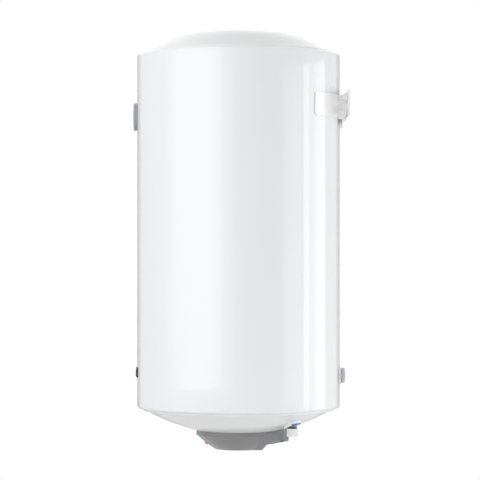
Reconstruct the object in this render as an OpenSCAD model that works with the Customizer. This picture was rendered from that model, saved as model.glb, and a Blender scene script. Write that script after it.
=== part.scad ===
// Wall-hung electric storage water heater, about 100 litres, standing upright.
// Origin: centre of the wall plate's two slots, on the wall plane. +Z is up, +Y points into
// the wall and the thermometer faces -Y. Sub-parts are drawn about the drum's own axis with
// z = 0 at the casing's bottom rim, and in_row_frame() moves them to the wall.

/* [Casing] */
// Outside diameter of the steel casing
casing_d = 450; // [380:1:520]
// Height of the casing from rim to rim
casing_h = 783; // [600:1:1000]
// Thickness of the casing sheet
casing_t = 0.8; // [0.5:0.1:1.5]
// Radius of the rolled edges at the top and bottom rims
rim_roll = 5; // [3:0.5:7]
// Width of the flange that each rim turns inwards
rim_w = 12; // [9:0.5:16]

/* [Caps] */
// Rise of the top cap above the casing
top_rise = 48; // [35:1:60]
// Drop of the bottom cap from the casing to the bottom cover's edge
bottom_drop = 50; // [44:1:54]
// Height of the small upright lip where each cap leaves the casing
cap_lip = 5; // [3:0.5:7]
// Wall of both plastic caps
cap_t = 2.2; // [1.5:0.1:3]
// Radius of the opening in the middle of the bottom cap
cap_hole_r = 80; // [76:1:84]

/* [Tank] */
// Thickness of the foam between casing and tank
foam_t = 28; // [22:1:40]
// Thickness of the tank steel
tank_t = 2; // [1.5:0.1:3]
// Height of each domed tank head
head_h = 55; // [45:1:60]
// Height of the tank's cylinder above the casing's bottom rim
tank_z0 = 30; // [26:1:40]
// Distance from the tank's cylinder to the casing's top rim
tank_top_gap = 30; // [26:1:60]

/* [Flange] */
// Radius of the flange ring and of the plate bolted to it
flange_r = 70; // [66:1:74]
// Thickness of the flange ring
ring_t = 6; // [4:0.5:8]
// Thickness of the rubber gasket
gasket_t = 2.5; // [2:0.5:4]
// Thickness of the flange plate
plate_t = 4; // [3:0.5:6]
// Outside radius of the neck tube
neck_r = 50; // [46:1:52]
// Height of the ring's upper face below the casing's rim
neck_drop = 40; // [36:1:42]
// Number of studs and nuts
stud_n = 6; // [5:1:8]
// Radius of the studs
stud_r = 4; // [3:0.5:5]

/* [Heating] */
// Radius of the heating tube
element_r = 4.25; // [3:0.25:5]
// Distance between the two legs of the element
element_gap = 26; // [20:1:30]
// Height of the element above the flange plate
element_h = 380; // [250:5:550]
// Radius of the anode rod
anode_r = 10; // [8:0.5:11]
// Length of the anode rod
anode_h = 300; // [150:5:500]
// Length of the sensor pocket
pocket_h = 280; // [150:5:400]

/* [Pipes] */
// Distance between the cold and the hot pipe
pipe_gap = 210; // [200:1:230]
// Distance of both pipes behind the drum's axis
pipe_y = 117.2; // [114:0.1:122]
// Outside radius of the pipes and of their threads
pipe_r = 10.4; // [9:0.1:11]
// Wall of the pipes
pipe_t = 2.4; // [1.8:0.1:3]
// Length of the pipes below the bottom cap
pipe_out = 26.2; // [24:0.1:32]
// Outside radius of the transit caps
plug_r = 12.2; // [11.8:0.1:13]
// Height of the transit caps
plug_h = 17.4; // [12:0.1:18]
// Radius of the collars round the pipes
collar_r = 18; // [16:0.5:20]
// Outside radius of the coloured clips
clip_r = 19.2; // [17:0.1:20]
// Thickness of the coloured clips
clip_t = 2.2; // [2:0.1:4]

/* [Bottom cover] */
// Radius of the cover's upright skirt
skirt_r = 93.5; // [92:0.5:96]
// Height of the skirt at the front
skirt_h = 8.5; // [6:0.5:10]
// Depth of the cover below the casing's rim
cover_drop = 92.3; // [90:0.1:98]
// Radius of the flat bottom
cover_flat_r = 51; // [46:1:54]
// Wall of the cover
cover_t = 2.2; // [1.6:0.1:2.8]
// Distance of the tail's end behind the drum's axis
tail_y = 110.6; // [108:0.1:114]
// Half width of the tail at its end
tail_x = 56; // [50:1:60]
// Radius of the two screw columns on the tail
column_r = 8; // [6:0.5:9]
// Radius of the cover screws
screw_r = 1.9; // [1.5:0.1:2.2]
// Radius of the pilot lamp's lens
lens_r = 5; // [4:0.1:6]
// Radius of the cable hole through the grommet
cable_r = 4.6; // [3.5:0.1:5.5]

/* [Thermometer] */
// Distance of the thermometer's centre below the casing's top rim
dial_below = 136.4; // [90:0.1:400]
// Outside radius of the thermometer
dial_r = 31; // [24:0.5:36]
// Front of the thermometer ahead of the casing
dial_proud = 7.6; // [7:0.1:10]
// Sweep of the pointer over the scale
dial_sweep = 240; // [180:5:270]

/* [Badge] */
// Width of the blank badge plate
badge_w = 70; // [40:1:110]
// Height of the badge plate
badge_h = 21.6; // [16:0.1:30]
// Thickness of the badge plate
badge_t = 2.6; // [1.5:0.1:4]
// Height of the badge's lower edge above the casing's rim
badge_z = 68; // [40:1:160]

/* [Wall bracket] */
// Gap between the drum and the wall
wall_gap = 18; // [16:0.5:24]
// Width of the wall plate
plate_w = 220; // [200:1:260]
// Height of the wall plate
plate_h = 56; // [48:1:64]
// Thickness of the wall plate
wall_plate_t = 4; // [3:0.5:5]
// Distance of the wall plate's centre below the casing's top rim
plate_below = 111.5; // [70:0.5:300]
// Distance between the two slots
slot_gap = 160; // [150:1:170]
// Width of the slots
slot_w = 11; // [8:0.5:13]
// Length of the slots
slot_l = 24; // [20:1:30]
// Half width of the strap, measured square to the wall
strap_x = 156; // [140:1:180]
// Height of the strap
strap_h = 50.5; // [44:0.5:60]
// Thickness of the strap
strap_t = 2.5; // [2:0.5:4]
// Half distance between the outer faces of the two cheeks
cheek_x = 60; // [50:1:64]
// Thickness of the hanger's sheet
cheek_t = 2.5; // [2:0.5:3]

/* [Lower spacer] */
// Height of the spacer's centre above the casing's bottom rim
spacer_z = 71; // [60:1:120]
// Radius of the ribbed head
spacer_r = 16.9; // [14:0.1:20]
// Length of the ribbed head
spacer_head = 6.8; // [5:0.1:8]
// Radius of the threaded stem
stem_r = 5.95; // [4:0.05:7]
// Width of the saddle plate
saddle_w = 104; // [70:1:120]
// Height of the saddle plate
saddle_h = 34; // [30:1:44]
// Thickness of the saddle plate
saddle_t = 3; // [2:0.5:4]

/* [Hidden] */
$fn = 96;

// Clearances
seat_gap = 0.2;       // between pieces that sit on each other
slip_gap = 0.3;       // between a sliding piece and what it slides on
shaft_gap = 0.05;     // running clearance of a small shaft, on the radius
hole_gap = 0.4;       // clearance of a screw or stud in its hole, on the radius
eps = 0.01;           // overrun of a cut past a face
head_steps = 16;      // straight stretches in the profile of a tank head

// Derived sizes
casing_r = casing_d / 2;
bore_r = casing_r - casing_t;
mouth_r = casing_r - rim_w;
tank_r = casing_r - foam_t - casing_t;
tank_z1 = casing_h - tank_top_gap;
dial_z = casing_h - dial_below;
plate_z = casing_h - plate_below;
pipe_x = pipe_gap / 2;
pipe_bore_r = pipe_r - pipe_t;
ring_z = -neck_drop - ring_t;
gasket_z = ring_z - gasket_t;
plate_low_z = gasket_z - plate_t;
stud_circle_r = flange_r - 9;
nut_h = 6.5;
neck_bore_r = neck_r - 3;
saddle_r = casing_r + seat_gap;

// Points of a quadratic curve from a to c, pulled towards b
function curve(a, b, c, n = 8) =
  [for (i = [0:n]) let (t = i / n) (1 - t) * (1 - t) * a + 2 * t * (1 - t) * b + t * t * c];
// Points of a round arc in the plane of a profile
function arc(centre, r, from, to, n = 8) =
  [for (i = [0:n]) let (a = from + (to - from) * i / n) centre + r * [cos(a), sin(a)]];
// Outside height of a domed tank head at radius r, above or below its cylinder
function head_rise(r) = head_h * sqrt(1 - pow(r / tank_r, 2));

module in_row_frame() {
  translate([0, -wall_gap - casing_r, -plate_z]) children();
}

// A prism along Y with a rounded rectangle as its outline, for cutting curved plates
module window(w, h, corner, y0, y1) {
  translate([0, y1, 0]) rotate([90, 0, 0]) linear_extrude(y1 - y0) rounded_rect(w, h, corner);
}

module rounded_rect(w, h, corner) {
  square([w - 2 * corner, h], center = true);
  square([w, h - 2 * corner], center = true);
  for (x = [-1, 1], y = [-1, 1])
    translate([x * (w / 2 - corner), y * (h / 2 - corner)]) circle(corner);
}

module slot_outline(length, width) {
  square([length - width, width], center = true);
  for (x = [-1, 1]) translate([x * (length - width) / 2, 0]) circle(width / 2);
}

module tube(r_out, r_in, z0, z1) {
  translate([0, 0, z0]) difference() {
    cylinder(r = r_out, h = z1 - z0);
    translate([0, 0, -1]) cylinder(r = r_in, h = z1 - z0 + 2);
  }
}

module rod(r, z0, z1) {
  translate([0, 0, z0]) cylinder(r = r, h = z1 - z0);
}

// A rod along Y
module y_rod(r, y0, y1) {
  translate([0, y1, 0]) rotate([90, 0, 0]) cylinder(r = r, h = y1 - y0);
}

module hex_nut(across, height, bore) {
  difference() {
    cylinder(r = across / sqrt(3), h = height, $fn = 6);
    translate([0, 0, -1]) cylinder(r = bore, h = height + 2);
  }
}

module at_studs() {
  for (i = [0:stud_n - 1]) rotate(i * 360 / stud_n) translate([stud_circle_r, 0, 0]) children();
}

// side is 1 for the cold pipe on the right and -1 for the hot pipe on the left
module at_pipe(side) {
  translate([side * pipe_x, pipe_y, 0]) children();
}

// ---------------------------------------------------------------- casing and caps

module casing_profile() {
  inner = rim_roll - casing_t;
  low = rim_roll;
  high = casing_h - rim_roll;
  centre_x = casing_r - rim_roll;
  polygon(concat(
    [[mouth_r, 0]], arc([centre_x, low], rim_roll, 270, 360),
    arc([centre_x, high], rim_roll, 0, 90), [[mouth_r, casing_h]],
    [[mouth_r, casing_h - casing_t]], arc([centre_x, high], inner, 90, 0),
    arc([centre_x, low], inner, 0, -90), [[mouth_r, casing_t]]
  ));
}

module outer_casing() {
  color("white") difference() {
    rotate_extrude($fn = 180) casing_profile();
    translate([0, 0, dial_z]) y_rod(probe_hole_r, -casing_r - 5, -casing_r + 20);
    translate([0, 0, spacer_z]) y_rod(sleeve_r + hole_gap, casing_r - 20, casing_r + 5);
    at_rivets() y_rod(rivet_r + hole_gap, 100, casing_r + 5);
  }
}

// Outside of the top cap from its lip to the middle: an ogee shoulder and a flat crown
function top_outline(r0, drop) = concat(
  arc([r0 - 4, cap_lip - 4 - drop], 4, 0, 60, 4),
  curve([r0 * 0.935, cap_lip + 1.5 - drop], [r0 * 0.87, top_rise * 0.29 - drop],
        [r0 * 0.775, top_rise * 0.52 - drop], 6),
  curve([r0 * 0.74, top_rise * 0.6 - drop], [r0 * 0.58, top_rise * 0.95 - drop],
        [r0 * 0.44, top_rise * 0.955 - drop], 8),
  curve([r0 * 0.4, top_rise * 0.957 - drop], [r0 * 0.2, top_rise - drop], [0, top_rise - drop], 6)
);

// Outside of the bottom cap, measured downwards, from its lip to the bottom cover's edge
function bottom_outline(r0, drop) = concat(
  arc([r0 - 4, cap_lip + 1 - 4 - drop], 4, 0, 60, 4),
  curve([r0 * 0.94, cap_lip + 3 - drop], [r0 * 0.82, bottom_drop * 0.45 - drop],
        [r0 * 0.68, bottom_drop * 0.67 - drop], 8),
  curve([r0 * 0.65, bottom_drop * 0.715 - drop], [r0 * 0.53, bottom_drop * 0.9 - drop],
        [skirt_r, bottom_drop - drop], 6)
);

cap_r = mouth_r - seat_gap;
// Where the bottom cap's outer face stands at the pipes, below the rim
pipe_dome = lookup(norm([pipe_x, pipe_y]), bottom_outline(cap_r, 0));
pipe_drop = pipe_dome + pipe_out;
flange_w = 7;
flange_z = -casing_t - seat_gap;
inner_edge = cap_hole_r - 2;

module top_cap() {
  outside = top_outline(cap_r, 0);
  inside = top_outline(cap_r - cap_t, cap_t);
  color("gainsboro") translate([0, 0, casing_h]) rotate_extrude($fn = 180) polygon(concat(
    [[cap_r + flange_w, flange_z - cap_t], [cap_r + flange_w, flange_z], [cap_r, flange_z]],
    outside,
    [for (i = [len(inside) - 1:-1:0]) inside[i]],
    [[cap_r - cap_t, flange_z - cap_t]]
  ));
}

// The bottom cap seen as a solid of revolution standing on its rim, before it is turned over
module bottom_cap_shell() {
  outside = bottom_outline(cap_r, 0);
  inside = bottom_outline(cap_r - cap_t, cap_t);
  edge = bottom_drop + (skirt_r - cap_hole_r) * 0.25;
  rotate_extrude($fn = 180) polygon(concat(
    [[cap_r + flange_w, flange_z - cap_t], [cap_r + flange_w, flange_z], [cap_r, flange_z]],
    outside,
    [[cap_hole_r, edge], [cap_hole_r, edge - cap_t]],
    [for (i = [len(inside) - 1:-1:0]) inside[i]],
    [[cap_r - cap_t, flange_z - cap_t]]
  ));
}

// Everything on the drum's side of the bottom cap's outer face, grown by clear
module above_bottom_cap(clear) {
  outside = bottom_outline(cap_r, 0);
  edge = bottom_drop + (skirt_r - inner_edge) * 0.25;
  mirror([0, 0, 1]) translate([0, 0, clear]) rotate_extrude($fn = 180) polygon(concat(
    [[0, -40], [cap_r, -40]], outside, [[inner_edge, edge], [0, edge]]
  ));
}

module bottom_cap() {
  color("gainsboro") difference() {
    union() {
      mirror([0, 0, 1]) bottom_cap_shell();
      at_columns() rod(boss_r, -boss_low, -boss_low + boss_h);
    }
    for (side = [-1, 1]) at_pipe(side) rod(pipe_r + hole_gap, -80, 0);
    at_columns() rod(screw_r + shaft_gap, -80, -boss_low + boss_h - 2);
  }
}

module insulation_foam() {
  gap = seat_gap;
  low = tank_z0;
  high = tank_z1;
  outer_r = bore_r - gap;
  foot = rim_roll + 1;
  shell = tank_r + gap;
  bottom_in = bottom_outline(cap_r - cap_t, cap_t + gap);
  top_in = top_outline(cap_r - cap_t, cap_t + gap);
  color("khaki") difference() {
    rotate_extrude($fn = 180) polygon(concat(
      [for (i = [0:head_steps]) let (a = 90 * i / head_steps)
        [shell * sin(a), low - (head_h + gap) * cos(a)]],
      [for (i = [0:head_steps]) let (a = 90 * i / head_steps)
        [shell * cos(a), high + (head_h + gap) * sin(a)]],
      [for (i = [len(top_in) - 1:-1:0]) [top_in[i][0], casing_h + top_in[i][1]]],
      [[cap_r - cap_t, casing_h - foot], [outer_r, casing_h - foot], [outer_r, foot],
       [cap_r - cap_t, foot]],
      [for (p = bottom_in) [p[0], -p[1]]],
      [[skirt_r, -bottom_drop + cap_t + gap], [0, -bottom_drop + cap_t + gap]]
    ));
    rod(flange_r + 4, -80, -neck_drop + 6);
    rod(neck_r + gap, -80, 0);
    for (side = [-1, 1]) at_pipe(side) rod(pipe_r + gap, -80, 30);
    at_columns() rod(boss_r + gap, -80, -boss_low + boss_h + gap);
    translate([0, 0, dial_z]) y_rod(probe_r + gap, -casing_r, -tank_r + 5);
    translate([0, 0, spacer_z]) y_rod(sleeve_r + gap, sleeve_y - gap, casing_r);
    at_rivets() y_rod(rivet_r + 2, casing_r - 20, casing_r);
  }
}

// ---------------------------------------------------------------- tank and flange

module tank_shell() {
  color("steelblue") tube(tank_r, tank_r - tank_t, tank_z0, tank_z1);
}

// A domed head that stands on z = 0 and rises to head_h
module domed_head() {
  inner_r = tank_r - tank_t;
  inner_h = head_h - tank_t;
  rotate_extrude($fn = 180) polygon(concat(
    [for (i = [0:head_steps]) let (a = 90 * i / head_steps) [tank_r * cos(a), head_h * sin(a)]],
    [for (i = [head_steps:-1:0]) let (a = 90 * i / head_steps) [inner_r * cos(a), inner_h * sin(a)]]
  ));
}

module tank_top_head() {
  color("steelblue") translate([0, 0, tank_z1]) domed_head();
}

module tank_bottom_head() {
  color("steelblue") difference() {
    translate([0, 0, tank_z0]) mirror([0, 0, 1]) domed_head();
    rod(neck_r + seat_gap, -60, 10);
    for (side = [-1, 1]) at_pipe(side) rod(pipe_r + seat_gap, -40, 30);
  }
}

module flange_neck() {
  top = tank_z0 - head_rise(neck_r) + 8;
  color("steelblue") {
    difference() {
      union() {
        tube(neck_r, neck_bore_r, -neck_drop - eps, top);
        tube(flange_r, neck_bore_r, ring_z, -neck_drop);
      }
      at_studs() rod(stud_r, ring_z - 1, -neck_drop + 1);
    }
  }
}

module flange_studs() {
  color("silver") at_studs() rod(stud_r - shaft_gap, plate_low_z - nut_h - 3, -neck_drop + 2);
}

module flange_gasket() {
  color("dimgray") tube(stud_circle_r - stud_r - 1, neck_bore_r - 3, gasket_z, ring_z);
}

module flange_plate() {
  color("lightgray") difference() {
    rod(flange_r, plate_low_z, gasket_z);
    at_studs() rod(stud_r + hole_gap, plate_low_z - 1, gasket_z + 1);
    at_element_legs() rod(element_r + shaft_gap, plate_low_z - 1, gasket_z + 1);
    at_pocket() rod(pocket_r + shaft_gap, plate_low_z - 1, gasket_z + 1);
    at_anode() rod(anode_stud_r + shaft_gap, plate_low_z - 1, gasket_z + 1);
  }
}

module flange_nuts() {
  color("silver") at_studs() translate([0, 0, plate_low_z - nut_h]) hex_nut(13, nut_h, stud_r);
}

// ---------------------------------------------------------------- heating unit

element_x = -30;
terminal_r = 5.5;
pocket_r = 4;
pocket_at = [6, -14];
anode_at = [24, 22];
anode_stud_r = 4;

module at_element_legs() {
  for (y = [-1, 1]) translate([element_x, y * element_gap / 2, 0]) children();
}

module at_pocket() {
  translate([pocket_at[0], pocket_at[1], 0]) children();
}

module at_anode() {
  translate([anode_at[0], anode_at[1], 0]) children();
}

module heating_element() {
  bend_z = gasket_z + element_h - element_gap / 2;
  color("sienna") {
    at_element_legs() rod(element_r, plate_low_z - 4, bend_z);
    translate([element_x, 0, bend_z]) rotate([90, 0, 90]) rotate_extrude(angle = 180)
      translate([element_gap / 2, 0]) circle(element_r);
    at_element_legs() rod(terminal_r, plate_low_z - 5, plate_low_z);
    at_element_legs() rod(2, plate_low_z - 12, plate_low_z - 5);
  }
}

module sensor_pocket() {
  color("silver") at_pocket() difference() {
    rod(pocket_r, plate_low_z, gasket_z + pocket_h);
    rod(pocket_r - 0.8, plate_low_z - 1, gasket_z + pocket_h - 2);
  }
}

module anode_rod() {
  color("darkgray") at_anode() {
    rod(anode_stud_r, plate_low_z - 9, gasket_z + 10);
    rod(anode_r, gasket_z + 10, gasket_z + 10 + anode_h);
    rod(anode_r - 3, gasket_z, gasket_z + 10);
  }
}

module anode_nut() {
  color("silver") at_anode() translate([0, 0, plate_low_z - nut_h])
    hex_nut(13, nut_h, anode_stud_r + shaft_gap);
}

thermostat_w = 54;
thermostat_d = 34;
thermostat_h = 22;
thermostat_top = plate_low_z - 4;
thermostat_low = thermostat_top - thermostat_h;
knob_at = [-8, -14];
knob_r = 7;
reset_at = [22, -14];
reset_r = 3;
reset_travel = 2.5;

module thermostat_body() {
  stem = 2;
  color("black") difference() {
    union() {
      translate([pocket_at[0] - thermostat_w / 2, pocket_at[1] - thermostat_d / 2, thermostat_low])
        cube([thermostat_w, thermostat_d, thermostat_h]);
      at_pocket() rod(pocket_r + 2, thermostat_top - eps, plate_low_z - seat_gap);
      at_pocket() rod(stem, thermostat_top, gasket_z + pocket_h - 6);
    }
    translate([knob_at[0], knob_at[1], 0]) rod(2 + shaft_gap, thermostat_low - 1, thermostat_low + 10);
    translate([reset_at[0], reset_at[1], 0])
      rod(reset_r + shaft_gap, thermostat_low - 1, thermostat_low + 8);
  }
}

module thermostat_knob() {
  top = thermostat_low - slip_gap;
  color("red") translate([knob_at[0], knob_at[1], 0]) difference() {
    union() {
      rod(2, top - eps, thermostat_low + 9);
      rod(knob_r, top - 5, top);
      translate([0, 0, top - 6]) rotate(30) translate([-1, 0, 0]) cube([2, knob_r, 2]);
    }
    translate([-4, -0.6, top - 6]) cube([8, 1.2, 2]);
  }
}

module reset_button() {
  color("green") translate([reset_at[0], reset_at[1], 0]) {
    rod(reset_r, thermostat_low - 4, thermostat_low + 8 - reset_travel - slip_gap);
  }
}

block_w = 46;
block_d = 20;
block_h = 12;
block_y = 78;

module terminal_block() {
  screws = 3;
  pitch = block_w / screws;
  color("ivory") on_tail_floor(block_y) translate([-block_w / 2, -block_d / 2, seat_gap]) difference() {
    cube([block_w, block_d, block_h]);
    for (i = [0:screws - 1]) translate([(i + 0.5) * pitch, 0, 0]) {
      translate([0, block_d / 2, block_h - 6]) cylinder(r = 3, h = 7);
      translate([0, -1, 4]) rotate([-90, 0, 0]) cylinder(r = 2, h = block_d + 2);
    }
  }
}

// A wire laid along straight stretches
module wire(points, r) {
  for (i = [1:len(points) - 1]) hull() for (p = [points[i - 1], points[i]])
    translate(p) sphere(r, $fn = 10);
}

module wiring_leads() {
  r = 1.2;
  top = plate_low_z - 12 - r;
  block_face = block_y - block_d / 2 - r - 2 * slip_gap;
  wire_z = tail_floor_z(block_face) + cover_t + 5;
  color("sienna") wire([[-30, element_gap / 2, top], [-30, 40, top], [-15, 56, top],
                        [-block_w / 3, block_face, wire_z + 1]], r);
  color("royalblue") wire([[pocket_at[0] + 12, pocket_at[1] + thermostat_d / 2 + r, top],
                           [18, 40, top - 1], [block_w / 3, block_face, wire_z + 1]], r);
  color("limegreen") wire([[0, 42, plate_low_z - r], [0, 50, top + 2], [0, block_face, wire_z + 1]], r);
}

// ---------------------------------------------------------------- pipes

diffuser_r = 15;

module cold_pipe() {
  color("silver") at_pipe(1) tube(pipe_r, pipe_bore_r, -pipe_drop, 24);
}

module cold_diffuser() {
  color("whitesmoke") at_pipe(1) difference() {
    union() {
      rod(diffuser_r, 36, 39);
      tube(pipe_r + 2, pipe_r + shaft_gap, 14, 36 + eps);
    }
    translate([0, 0, 30]) for (a = [0, 90]) rotate(a) cube([60, 8, 10], center = true);
  }
}

module hot_pipe() {
  color("silver") at_pipe(-1) tube(pipe_r, pipe_bore_r, -pipe_drop, tank_z1 + 20);
}

// Slopes of the collar's lower face and of the coloured clip, outwards and towards the wall
collar_z = -pipe_dome - 4.2;
collar_slope = [0.12, 0.426];
clip_z = -pipe_dome - 3.3;
clip_slope = [0.12, 0.16];

// Turns a level disc at the pipe into one with the given slopes
module tilted(side, z, slope) {
  at_pipe(side) translate([0, 0, z]) rotate([atan(slope[1]), -side * atan(slope[0]), 0]) children();
}

module collar(side) {
  deep = 60;
  difference() {
    at_pipe(side) rod(collar_r, -60, -10);
    at_pipe(side) rod(pipe_r + hole_gap, -61, -9);
    tilted(side, collar_z, collar_slope) translate([0, 0, -deep]) cylinder(r = 4 * collar_r, h = deep);
    above_bottom_cap(seat_gap);
    tilted(side, clip_z - clip_t / 2 - seat_gap, clip_slope) half_disc(clip_r + 1, clip_t + 2 * seat_gap);
  }
}

// A disc from which the side away from the wall is cut, but for a little past its middle
module half_disc(r, h) {
  past = 2;
  difference() {
    cylinder(r = r, h = h);
    translate([-2 * r, -2 * r - past, -h]) cube([4 * r, 2 * r, 3 * h]);
  }
}

module marker_clip(side) {
  difference() {
    tilted(side, clip_z - clip_t / 2, clip_slope) half_disc(clip_r, clip_t);
    at_pipe(side) rod(pipe_r + hole_gap, -60, 0);
    above_bottom_cap(seat_gap);
  }
}

module transit_cap(side) {
  low = -pipe_drop - slip_gap - 1.6;
  bore = pipe_r + slip_gap;
  at_pipe(side) difference() {
    union() {
      rod(plug_r - 0.6, low, low + plug_h);
      rod(plug_r, low + plug_h - 3, low + plug_h);
      rod(plug_r, low, low + 2.2);
    }
    rod(bore, low + 1.6, low + plug_h + 1);
  }
}

module cold_collar() {
  color("white") collar(1);
}

module hot_collar() {
  color("white") collar(-1);
}

module cold_clip() {
  color("steelblue") marker_clip(1);
}

module hot_clip() {
  color("firebrick") marker_clip(-1);
}

module cold_transit_cap() {
  color("white") transit_cap(1);
}

module hot_transit_cap() {
  color("white") transit_cap(-1);
}

// ---------------------------------------------------------------- bottom cover

// Where the tail's side walls leave the round skirt, and where its flat facets run
crease_y = 41;
crease_x = sqrt(skirt_r * skirt_r - crease_y * crease_y);
shoulder_y = tail_y - 6;
wall_lean = (crease_x - tail_x) / (shoulder_y - crease_y);
column_y = 95.5;
column_x = crease_x - wall_lean * (column_y - crease_y) - 5;
// The bosses stand just behind the bottom cap's outer face
boss_low = lookup(norm([column_x, column_y]), bottom_outline(cap_r, 0)) - 2.2;
boss_h = 16;
boss_r = screw_r + 3;
facet_angle = 36.5;
facet_low_x = 39;
rear_low_y = 52;
rear_angle = 52;
tail_drop = 78.4;
tail_slope = 8.5;
tail_start_y = 63.4;
edge_drop = 69.5;
edge_slope = 5.6;

function tail_floor_z(y) = -tail_drop + (y - tail_start_y) * tan(tail_slope);

// A frame that lies on the inside of the tail's sloping floor at distance y behind the axis
module on_tail_floor(y) {
  translate([0, y, tail_floor_z(y) + cover_t / cos(tail_slope)]) rotate([tail_slope, 0, 0]) children();
}

// Outside of the round part, from the skirt to the middle of the flat bottom
function cover_outline(inset) =
  let (skirt_z = -bottom_drop - skirt_h, low = -cover_drop + inset, r = skirt_r - inset)
  concat(
    [[0, -20], [r, -20], [r, skirt_z + 0.4 * inset], [r - 1, skirt_z - 1.3 + 0.6 * inset]],
    curve([r - 2.5, skirt_z - 2.8 + 0.6 * inset], [r - 22.5, skirt_z - 22.5 + inset],
          [cover_flat_r + 1 - 0.4 * inset, low + 0.7], 10),
    [[cover_flat_r - 1 - 0.4 * inset, low], [0, low]]
  );

// A half space below and beyond a slanted plane, for cutting a facet
module beyond(x, y, z, turn, lean) {
  size = 300;
  translate([x, y, z]) rotate([0, 0, turn]) rotate([0, lean, 0])
    translate([-size / 2, -size / 2, -size]) cube([size, size, size]);
}

module tail_plan(inset) {
  lean_inset = inset * sqrt(1 + wall_lean * wall_lean);
  x0 = crease_x - lean_inset;
  x1 = tail_x - lean_inset;
  polygon([[-x0, crease_y - 30], [x0, crease_y - 30], [x0, crease_y], [x1, shoulder_y - inset],
           [x1 - 3, tail_y - inset], [3 - x1, tail_y - inset], [-x1, shoulder_y - inset],
           [-x0, crease_y]]);
}

// Outside of the whole cover, with every face moved inwards by inset
module cover_form(inset) {
  intersection() {
    rotate_extrude($fn = 180) polygon(cover_outline(inset));
    translate([0, crease_y - 92, -150]) linear_extrude(200) square([400, 200], center = true);
  }
  difference() {
    union() {
      // Faceted middle, as deep as the round part
      difference() {
        tail_prism(inset);
        beyond(0, rear_low_y - inset, -cover_drop + inset, 90, -rear_angle);
      }
      // Shallower tail
      difference() {
        tail_prism(inset);
        beyond(0, tail_start_y, -tail_drop + inset / cos(tail_slope), 90, -tail_slope);
        for (s = [0, 1]) mirror([s, 0, 0]) tail_chamfer(inset);
      }
    }
    for (s = [0, 1]) mirror([s, 0, 0])
      beyond(facet_low_x, 0, -cover_drop + inset / cos(facet_angle), 0, -facet_angle);
  }
}

module tail_prism(inset) {
  translate([0, 0, -cover_drop + inset]) linear_extrude(cover_drop - 20) tail_plan(inset);
}

// Slanted cut along the lower edge of the tail's right side wall
module tail_chamfer(inset) {
  wall_turn = atan(wall_lean);
  edge_x = crease_x - wall_lean * (tail_start_y - crease_y) - inset;
  translate([edge_x, tail_start_y, -edge_drop + 0.6 * inset]) rotate([edge_slope, 0, 0])
    rotate([0, 0, wall_turn]) rotate([0, 50, 0]) translate([0, -100, -100]) cube([100, 300, 100]);
}

module at_columns() {
  for (x = [-1, 1]) translate([x * column_x, column_y, 0]) children();
}

module cover_columns() {
  intersection() {
    at_columns() rod(column_r, -edge_drop + 2, -20);
    translate([-200, 0, -200]) cube([400, tail_y, 200]);
  }
}

module bottom_cover() {
  lens_hole = lens_r - 0.3 + seat_gap;
  color("dimgray") difference() {
    union() {
      cover_form(0);
      cover_columns();
    }
    difference() {
      cover_form(cover_t);
      at_columns() rod(column_r, -80, 0);
    }
    above_bottom_cap(seat_gap);
    translate([0, 0, -bottom_drop - 2]) cylinder(r = cap_hole_r - 4, h = 40);
    at_columns() {
      rod(screw_r + hole_gap, -90, 0);
      rod(screw_head_r + hole_gap, -90, screw_seat_z);
    }
    at_lens() rod(lens_hole, -12, 12);
    translate([0, 0, grommet_z]) y_rod(grommet_r + seat_gap, tail_y - 12, tail_y + 5);
  }
}

screw_head_r = 3.8;
screw_seat_z = -60;

module cover_screws() {
  color("silver") at_columns() difference() {
    union() {
      rod(screw_head_r, screw_seat_z - 2.6, screw_seat_z);
      rod(screw_r, screw_seat_z - eps, -boss_low + boss_h - 4);
    }
    for (a = [0, 90]) rotate(a) translate([0, 0, screw_seat_z - 2.6])
      cube([5, 0.9, 2.4], center = true);
  }
}

// Frame of the pilot lamp: its z axis points out of the cover's front, square to it
lens_at = [0, -71.6, -79.4];
lens_lean = 42;

module at_lens() {
  translate(lens_at) rotate([-lens_lean, 0, 0]) mirror([0, 0, 1]) children();
}

module pilot_lens() {
  dome_h = 2;
  dome_r = (lens_r * lens_r + dome_h * dome_h) / (2 * dome_h);
  color("red") at_lens() {
    rod(lens_r - 0.3, -5, 0.4);
    intersection() {
      translate([0, 0, 0.4 + dome_h - dome_r]) sphere(dome_r);
      rod(lens_r, 0.3, 6);
    }
  }
}

module pilot_lamp() {
  color("orange") at_lens() {
    rod(3, -14, -5 - seat_gap);
    for (x = [-1, 1]) translate([x * 1.5, 0, 0]) rod(0.5, -18, -14);
  }
}

// Midway between the bottom cap above and the tail's floor below
grommet_z = (tail_floor_z(tail_y) + cover_t - lookup(tail_y, bottom_outline(cap_r, 0))) / 2;
grommet_r = 6.6;

module cable_grommet() {
  lip = 8.2;
  color("black") translate([0, 0, grommet_z]) difference() {
    union() {
      y_rod(grommet_r, tail_y - cover_t - 1.6, tail_y + 0.9);
      y_rod(lip, tail_y + seat_gap, tail_y + 1);
      y_rod(lip, tail_y - cover_t - 1.8, tail_y - cover_t - seat_gap);
    }
    y_rod(cable_r, tail_y - 20, tail_y + 20);
  }
}

// ---------------------------------------------------------------- thermometer and badge

probe_r = 3.5;
probe_hole_r = 5;
dial_front = casing_r + dial_proud;
bezel_d = 3.6;
face_y = dial_front - bezel_d;
dial_t = 0.6;
glass_t = 1;
spindle_r = 0.8;

module at_dial() {
  translate([0, 0, dial_z]) children();
}

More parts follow.
